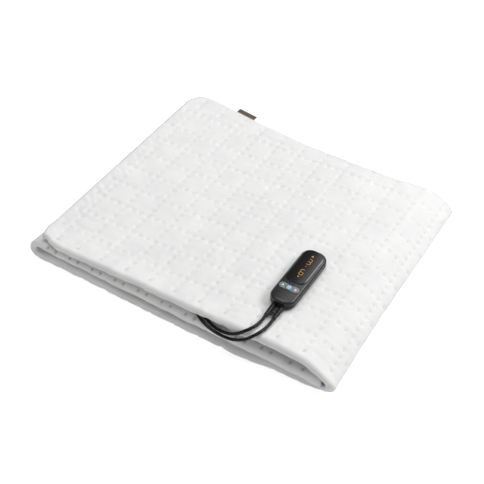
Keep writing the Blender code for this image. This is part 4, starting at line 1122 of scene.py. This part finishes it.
# The controller's weight flattens the cloth under it.
pressed = 1.0
for values, (centre, half, fade) in zip((x, y), PRESSED):
    pressed = pressed * fading(np.maximum(np.abs(values - centre) - half, 0) / fade)
outer_rows = np.isin(row_kinds, ("outer", "outer_strip", "nose"))[None, :]
shown = np.isin(part_names, ("top", "right", "left"))[:, None] & outer_rows
free = np.where(shown, 1.0, HIDDEN_LUMPS)
arc_down = np.cumsum(np.linalg.norm(np.diff(middle, axis=1, prepend=middle[:, :1]), axis=2), axis=1)
around_nose = np.isin(row_kinds, ("nose", "outer_strip"))[None, :]
pucker = noise(u, arc_down, *PUCKERS) + noise(u, arc_down * 0.3, *LONG_PUCKERS)
pucker *= np.where(part_names == "top", TOP_PUCKERS, OTHER_PUCKERS)[:, None]
rims *= 1 + noise(u, y, *UNEVEN_RIMS)
height = height + free * np.minimum(lumps - LUMP_SINK, LUMP_LIMIT) + creases + rims
height = np.where(on_top, height - pressed * np.maximum(height + LUMP_SINK, 0.0), height)
height = height + np.where(around_nose, np.minimum(pucker - PUCKER_SINK, PUCKER_LIMIT), 0.0)

# Pin-points on the folds: pairs on the middle panel's front, single ones on the others'.
# Painted shade: how much each point's colour is darkened in a pin-point's dimple.
pin_painted_shade = FACE_PIN_PAINTED_SHADE * pins
nose_index = np.flatnonzero(row_kinds == "nose")
nose_angles = np.array([rows[i][1] for i in nose_index])


def pin_at(column, row, strength=1.0, width=FRONT_PIN_WIDTH):
    """Sinks one pin-point and the points close to it, and paints shade into its dimple, darker the
    narrower it is.
    """
    sunk = strength * fading(np.linalg.norm(middle - middle[column, row], axis=2) / width)
    np.maximum(pins, sunk, out=pins)
    np.maximum(pin_painted_shade, sunk * FRONT_PIN_WIDTH / width, out=pin_painted_shade)


def fold_pin(part, place, degrees, strength=1.0):
    """Sinks one pin-point in a panel's front fold, this far up its curve."""
    column = np.argmin(np.abs(np.where(part_names == part, places, FAR) - place))
    pin_at(column, nose_index[np.argmin(np.abs(nose_angles - math.radians(degrees)))], strength)


for pair_x in FOLD_PINS_FROM + FOLD_PINS_PITCH * np.arange(FOLD_PINS_COUNT):
    for side in (-2, 2):
        fold_pin("middle", pair_x + side * FOLD_STEP, along(FOLD_PINS, 1, pair_x))
    fold_pin("bottom", pair_x + BOTTOM_PIN_ASIDE, BOTTOM_PIN_UP, DIM_PIN)
for k, pin_y in enumerate(STRIP_PINS):
    column = int(np.argmin(np.abs(column_lines - LINE_STEPS * k)))
    pin_at(column, np.argmin(np.abs(middle[column, : nose_index[-1], 1] - pin_y)), width=STRIP_PIN_WIDTH)
left_columns = np.flatnonzero(part_names == "left")
for row in np.flatnonzero(row_lines % PIN_STEPS == 0):
    for column in left_columns[1::3] if row_lines[row] % LINE_STEPS == 0 else left_columns[4:8:3]:
        pin_at(column, row, DIM_PIN, PIN_WIDTH)

# The bound hems are pinched by their stitching.
steps_across = np.linalg.norm(np.diff(middle, axis=0), axis=2).mean(axis=1)
from_first_side = np.concatenate([[0.0], np.cumsum(steps_across)])
from_sides = np.minimum(from_first_side, from_first_side[-1] - from_first_side)[:, None]
from_hems = np.minimum(arc_down, arc_down[:, -1:] - arc_down)
edge_nearness = fading(np.minimum(from_sides, from_hems) / HEM_FADE)
thickness = CLOTH / 2 * (1 - HEM_PINCH * edge_nearness)
normals = np.cross(np.gradient(middle, axis=0), np.gradient(middle, axis=1))
normals /= np.linalg.norm(normals, axis=2, keepdims=True)
if normals[int(np.argmin(np.abs(column_lines - 5 * LINE_STEPS))), 60, 2] < 0:
    normals = -normals
lift = thickness + (height - PIN_DEPTH * pins) * (1 - edge_nearness)
outer_skin = (middle + normals * lift[..., None] - ORIGIN) * 0.001
outer_skin[..., 2] = np.maximum(outer_skin[..., 2], 0.0)
inner_skin = (middle - normals * thickness[..., None] - ORIGIN) * 0.001

# The outer skin has every column, and its hidden parts fewer rows. The inner skin lies inside the fold
# in half, where only its hems show, so it has few of both.
fine = ~np.isin(part_names, ("middle", "bottom"))
shared = fine.copy()
shared[1:] |= fine[:-1]
shared[:-1] |= fine[1:]
last_column, last_row = len(middle) - 1, len(rows) - 1
all_rows = list(range(last_row + 1))
ends = set(all_rows[:3] + all_rows[-3:])
inner_rows = sorted(ends | {5} | set(range(8, last_row, 8)) | set(nose_index[::2].tolist()))
folded = np.flatnonzero(np.isin(part_names, ("left", "right")))[::2].tolist()
ends = {0, 1, 2, 3, last_column - 3, last_column - 2, last_column - 1, last_column}
inner_columns = sorted(ends | set(range(5, last_column - 3, 5)) | set(folded))


def rows_between(column, first, last):
    """The rows of the outer skin's column from one to another, with those that a finer side needs."""
    kept = all_rows if shared[column] else hidden_rows
    return [("out", column, row) for row in kept if first <= row <= last]


def outer_faces():
    for column in range(last_column):
        stops = all_rows if fine[column] and fine[column + 1] else hidden_rows
        for first, last in zip(stops, stops[1:]):
            yield rows_between(column, first, last) + rows_between(column + 1, first, last)[::-1]


def inner_faces():
    for c1, c2 in zip(inner_columns, inner_columns[1:]):
        for r1, r2 in zip(inner_rows, inner_rows[1:]):
            yield [("in", c1, r1), ("in", c2, r1), ("in", c2, r2), ("in", c1, r2)]


def rim_faces():
    for row in (0, last_row):
        for c1, c2 in zip(inner_columns, inner_columns[1:]):
            face = [("out", column, row) for column in range(c1, c2 + 1)]
            face += [("in", c2, row), ("in", c1, row)]
            yield face if row == 0 else face[::-1]
    for column in (0, last_column):
        for r1, r2 in zip(inner_rows, inner_rows[1:]):
            face = rows_between(column, r1, r2) + [("in", column, r2), ("in", column, r1)]
            yield face[::-1] if column == 0 else face


def smooth_piece(name, points, faces):
    """A piece from its points and faces, which are smoothed and pointed outwards."""
    mesh = bpy.data.meshes.new(name)
    mesh.from_pydata(points, [], faces)
    cage = bmesh.new()
    cage.from_mesh(mesh)
    bmesh.ops.recalc_face_normals(cage, faces=cage.faces)
    cage.to_mesh(mesh)
    cage.free()
    mesh.polygons.foreach_set("use_smooth", [True] * len(mesh.polygons))
    piece = bpy.data.objects.new(name, mesh)
    bpy.context.scene.collection.objects.link(piece)
    return piece


numbers, points, pin_shade_values, faces = {}, [], [], []
for skin_faces in (outer_faces(), inner_faces(), rim_faces()):
    for face in skin_faces:
        for corner in face:
            if corner not in numbers:
                numbers[corner] = len(points)
                skin, column, row = corner
                points.append((outer_skin if skin == "out" else inner_skin)[column, row])
                pin_shade_values.append(pin_painted_shade[column, row] if skin == "out" else 0.0)
        faces.append([numbers[corner] for corner in face])
blanket = smooth_piece("quilted_blanket", points, faces)
# The pin-points' painted shade goes to the shader as the "pin" attribute.
blanket.data.attributes.new("pin", "FLOAT", "POINT").data.foreach_set("value", pin_shade_values)

soft = {"Roughness": 0.95, "Specular IOR Level": 0.15, "Sheen Weight": 0.6, "Sheen Roughness": 0.45}
fleece, shader, tree = new_finish("white fleece", (0.80, 0.80, 0.79, 1.0), soft)
where = add(tree, "TexCoord")
pile, tufts, shade = (
    add(tree, "TexNoise", {"Scale": scale, "Detail": detail})
    for scale, detail in ((900.0, 3.0), (210.0, 4.0), (26.0, 5.0))
)
heights = add(tree, "Math", {1: 0.5}, operation="MULTIPLY_ADD")
bump = add(tree, "Bump", {"Strength": 0.5, "Distance": 0.0006})
tint = add(tree, "ValToRGB")
stops = ((0.3, (0.770, 0.772, 0.768, 1.0)), (0.7, (0.830, 0.830, 0.822, 1.0)))
for stop, (position, colour) in zip(tint.color_ramp.elements, stops):
    stop.position, stop.color = position, colour
# Painted shade: the base colour is mixed towards dark grey in the pin-points' dimples.
sunk = add(tree, "Attribute", attribute_name="pin")
span = add(tree, "MapRange", {"From Min": 0.2, "To Max": 0.75})
pin_shade_mix = add(tree, "Mix", {"B": (0.22, 0.22, 0.22, 1.0)}, data_type="RGBA")
wire(
    tree,
    *((where, "Object", texture, "Vector") for texture in (pile, tufts, shade)),
    (pile, "Fac", heights, 0),
    (tufts, "Fac", heights, 2),
    (heights, "Value", bump, "Height"),
    (bump, "Normal", shader, "Normal"),
    (shade, "Fac", tint, "Fac"),
    (tint, "Color", pin_shade_mix, "A"),
    (sunk, "Fac", span, "Value"),
    (span, "Result", pin_shade_mix, "Factor"),
    (pin_shade_mix, "Result", shader, "Base Color"),
)
blanket.data.materials.append(fleece)
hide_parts("blanket")
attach(blanket, "folded_blanket")

# ------------------------------------------------------------------------------------- Overlock
# The cloth's whole edge is bound by an overlock of pale lilac thread: each stitch is a loop round the
# raw edge, set a little aslant.
STITCH_PITCH = 1.8
LOOP_INWARDS, LOOP_OUT = 2.1, 2.0
LOOP_MIDDLE = 1.3
LOOP_SLANT = 0.7
LOOP_UNEVEN = 0.12
THREAD_RADIUS = 0.62
LOOP_SIDES, THREAD_SIDES = 8, 3

edge_walk = [(column, 0, column, 1) for column in range(last_column)]
edge_walk += [(last_column, row, last_column - 1, row) for row in range(last_row)]
edge_walk += [(column, last_row, column, last_row - 1) for column in range(last_column, 0, -1)]
edge_walk += [(0, row, 1, row) for row in range(last_row, 0, -1)]
edge_walk += edge_walk[:1]
edge = np.array([middle[column, row] for column, row, _, _ in edge_walk])
inward = np.array([middle[column, row] for _, _, column, row in edge_walk]) - edge
walked = walked_along(edge)
stitches = round(walked[-1] / STITCH_PITCH)
stops = np.arange(stitches) * walked[-1] / stitches
at, inward = (read_line(line, walked, stops) for line in (edge, inward))
forward = np.roll(at, -1, axis=0) - np.roll(at, 1, axis=0)
forward /= np.linalg.norm(forward, axis=1, keepdims=True)
inward -= forward * np.sum(inward * forward, axis=1, keepdims=True)
inward /= np.linalg.norm(inward, axis=1, keepdims=True)
upward = np.cross(forward, inward)
loop_angles = (np.arange(LOOP_SIDES) * math.tau / LOOP_SIDES)[None, :, None]
thread_angles = np.arange(THREAD_SIDES) * math.tau / THREAD_SIDES
uneven = np.random.default_rng(4).uniform(-LOOP_UNEVEN, LOOP_UNEVEN, (stitches, 1, 1))
cos_loop, sin_loop = np.cos(loop_angles), np.sin(loop_angles)
reach = LOOP_MIDDLE - (LOOP_INWARDS + uneven + THREAD_RADIUS * np.cos(thread_angles)) * cos_loop
out = (LOOP_OUT + THREAD_RADIUS * np.cos(thread_angles)) * sin_loop
slant = LOOP_SLANT * sin_loop + uneven + THREAD_RADIUS * np.sin(thread_angles)
axes = ((inward, reach), (upward, out), (forward, slant))
loops = at[:, None, None] + sum(axis[:, None, None] * share[..., None] for axis, share in axes)
corners = ((0, 0), (0, 1), (1, 1), (1, 0))
ring = [
    [(i + di) % LOOP_SIDES * THREAD_SIDES + (j + dj) % THREAD_SIDES for di, dj in corners]
    for i in range(LOOP_SIDES)
    for j in range(THREAD_SIDES)
]
starts = np.arange(stitches)[:, None, None] * LOOP_SIDES * THREAD_SIDES
overlock = smooth_piece(
    "overlock_stitches",
    ((loops.reshape(-1, 3) - ORIGIN) * 0.001).tolist(),
    (np.array(ring)[None] + starts).reshape(-1, 4).tolist(),
)
matt = {"Roughness": 0.75, "Sheen Weight": 0.15}
lilac, shader, tree = new_finish("lilac thread", (0.70, 0.66, 0.84, 1.0), matt)
where, strands = add(tree, "TexCoord"), add(tree, "TexNoise", {"Scale": 1800.0})
bump = add(tree, "Bump", {"Strength": 0.35, "Distance": 0.0002})
tint = add(tree, "ValToRGB")
tint.color_ramp.elements[0].color = (0.66, 0.64, 0.82, 1.0)
tint.color_ramp.elements[1].color = (0.80, 0.78, 0.90, 1.0)
wire(
    tree,
    (where, "Object", strands, "Vector"),
    (strands, "Fac", bump, "Height"),
    (strands, "Fac", tint, "Fac"),
    (tint, "Color", shader, "Base Color"),
    (bump, "Normal", shader, "Normal"),
)
overlock.data.materials.append(lilac)
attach(overlock, "folded_blanket")

# ---------------------------------------------------------------------------------------- Label
# A folded tab of brown woven ribbon, sewn into the back hem. Its face is bare, with a lighter woven
# border.
LABEL_LENGTH, LABEL_REACH, LABEL_THICK = 0.037, 0.0105, 0.0011
LABEL_TURN, LABEL_TILT = math.radians(-7.0), math.radians(8.0)
BORDER_FROM, BORDER_TO = 0.0019, 0.0015
WEAVE = 520.0

low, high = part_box("side_label")
centre = (low + high) / 2
half = Vector((LABEL_LENGTH / 2, LABEL_REACH / 2, LABEL_THICK / 2))
label = slab("ribbon_tab", -half, half, (0.0006,) * 4, rim=0.0003, foot=0.0003, rounds=3, rim_rounds=2)
turn, tilt = Matrix.Rotation(LABEL_TURN, 4, "Z"), Matrix.Rotation(LABEL_TILT, 4, "X")
label.data.transform(Matrix.Translation(centre) @ turn @ tilt)
matt = {"Roughness": 0.8, "Sheen Weight": 0.2}
ribbon, shader, tree = new_finish("brown woven ribbon", (0.12, 0.085, 0.055, 1.0), matt)
where = add(tree, "TexCoord")
placed = {"Location": centre, "Rotation": (0.0, 0.0, LABEL_TURN)}
turned = add(tree, "Mapping", placed, vector_type="TEXTURE")
weave = add(tree, "Math", operation="MULTIPLY")
for entry, direction in enumerate("XY"):
    wave = add(tree, "TexWave", {"Scale": WEAVE}, bands_direction=direction)
    wire(tree, (turned, "Vector", wave, "Vector"), (wave, "Fac", weave, entry))
bump = add(tree, "Bump", {"Strength": 0.6, "Distance": 0.0002})
split, border = add(tree, "SeparateXYZ"), add(tree, "Math", operation="MAXIMUM")
for entry, (axis, extent) in enumerate((("X", half.x), ("Y", half.y))):
    away = add(tree, "Math", operation="ABSOLUTE")
    span = add(tree, "MapRange", {"From Min": extent - BORDER_FROM, "From Max": extent - BORDER_TO})
    wire(tree, (split, axis, away, 0), (away, "Value", span, "Value"), (span, "Result", border, entry))
colours = {"A": (0.105, 0.072, 0.045, 1.0), "B": (0.32, 0.26, 0.20, 1.0)}
tint = add(tree, "Mix", colours, data_type="RGBA")
wire(
    tree,
    (where, "Object", turned, "Vector"),
    (weave, "Value", bump, "Height"),
    (bump, "Normal", shader, "Normal"),
    (turned, "Vector", split, "Vector"),
    (border, "Value", tint, "Factor"),
    (tint, "Result", shader, "Base Color"),
)
label.data.materials.append(ribbon)
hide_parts("side_label")
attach(label, "folded_blanket")

# ---------------------------------------------------------------------------- Floor and lights
# A plain white floor that glows a little, to show as white as the photograph's ground. The light is
# soft, mostly from above and from the right, and leaves the front folds in shade. A strip behind on the
# right gives the streak on the display cover.
FLOOR_SIZE, FLOOR_LEVEL = 12.0, -0.0003
FLOOR_GLOW, FLOOR_BOUNCE = 0.48, 0.24
LIGHTS = (
    # name, place, width, height, watts
    ("key", (1.95, 0.85, 2.0), 1.1, 0.9, 29.0),
    ("strip", (1.45, 1.75, 1.70), 0.6, 0.9, 14.0),
    ("back", (0.40, 2.1, 2.2), 1.9, 1.2, 17.0),
    ("overhead", (-0.3, 0.2, 2.7), 2.0, 1.8, 38.0),
    ("front fill", (-0.8, -2.5, 1.2), 2.0, 1.4, 7.0),
)
SKY = 0.14

deselect_all()
bpy.ops.mesh.primitive_plane_add(size=FLOOR_SIZE, location=(0.0, 0.0, FLOOR_LEVEL))
bpy.ops.object.transform_apply(location=True, rotation=True, scale=True)
floor = bpy.context.object
floor.name = floor.data.name = "floor"
matt = {"Roughness": 0.9, "Specular IOR Level": 0.1, "Emission Color": (1.0, 1.0, 1.0, 1.0)}
paper, shader, tree = new_finish("white paper floor", (0.74, 0.74, 0.74, 1.0), matt)
where, mottle = add(tree, "TexCoord"), add(tree, "TexNoise", {"Scale": 300.0})
bump = add(tree, "Bump", {"Strength": 0.05, "Distance": 0.0005})
seen = add(tree, "LightPath")
shine = add(tree, "Math", {1: FLOOR_GLOW, 2: FLOOR_BOUNCE}, operation="MULTIPLY_ADD")
wire(
    tree,
    (where, "Object", mottle, "Vector"),
    (mottle, "Fac", bump, "Height"),
    (bump, "Normal", shader, "Normal"),
    (seen, "Is Camera Ray", shine, 0),
    (shine, "Value", shader, "Emission Strength"),
)
floor.data.materials.append(paper)

for name, place, width, length, watts in LIGHTS:
    light = bpy.data.lights.new(name, "AREA")
    light.shape, light.size, light.size_y, light.energy = "RECTANGLE", width, length, watts
    lamp = bpy.data.objects.new(name, light)
    bpy.context.scene.collection.objects.link(lamp)
    away = Vector(place)
    lamp.matrix_world = Matrix.Translation(away) @ away.to_track_quat("Z", "Y").to_matrix().to_4x4()

world = bpy.data.worlds.new("studio")
world.use_nodes = True
world.node_tree.nodes["Background"].inputs["Color"].default_value = (1.0, 1.0, 1.0, 1.0)
world.node_tree.nodes["Background"].inputs["Strength"].default_value = SKY
bpy.context.scene.world = world
bpy.context.scene.view_settings.view_transform = "Standard"
bpy.context.scene.view_settings.look = "None"
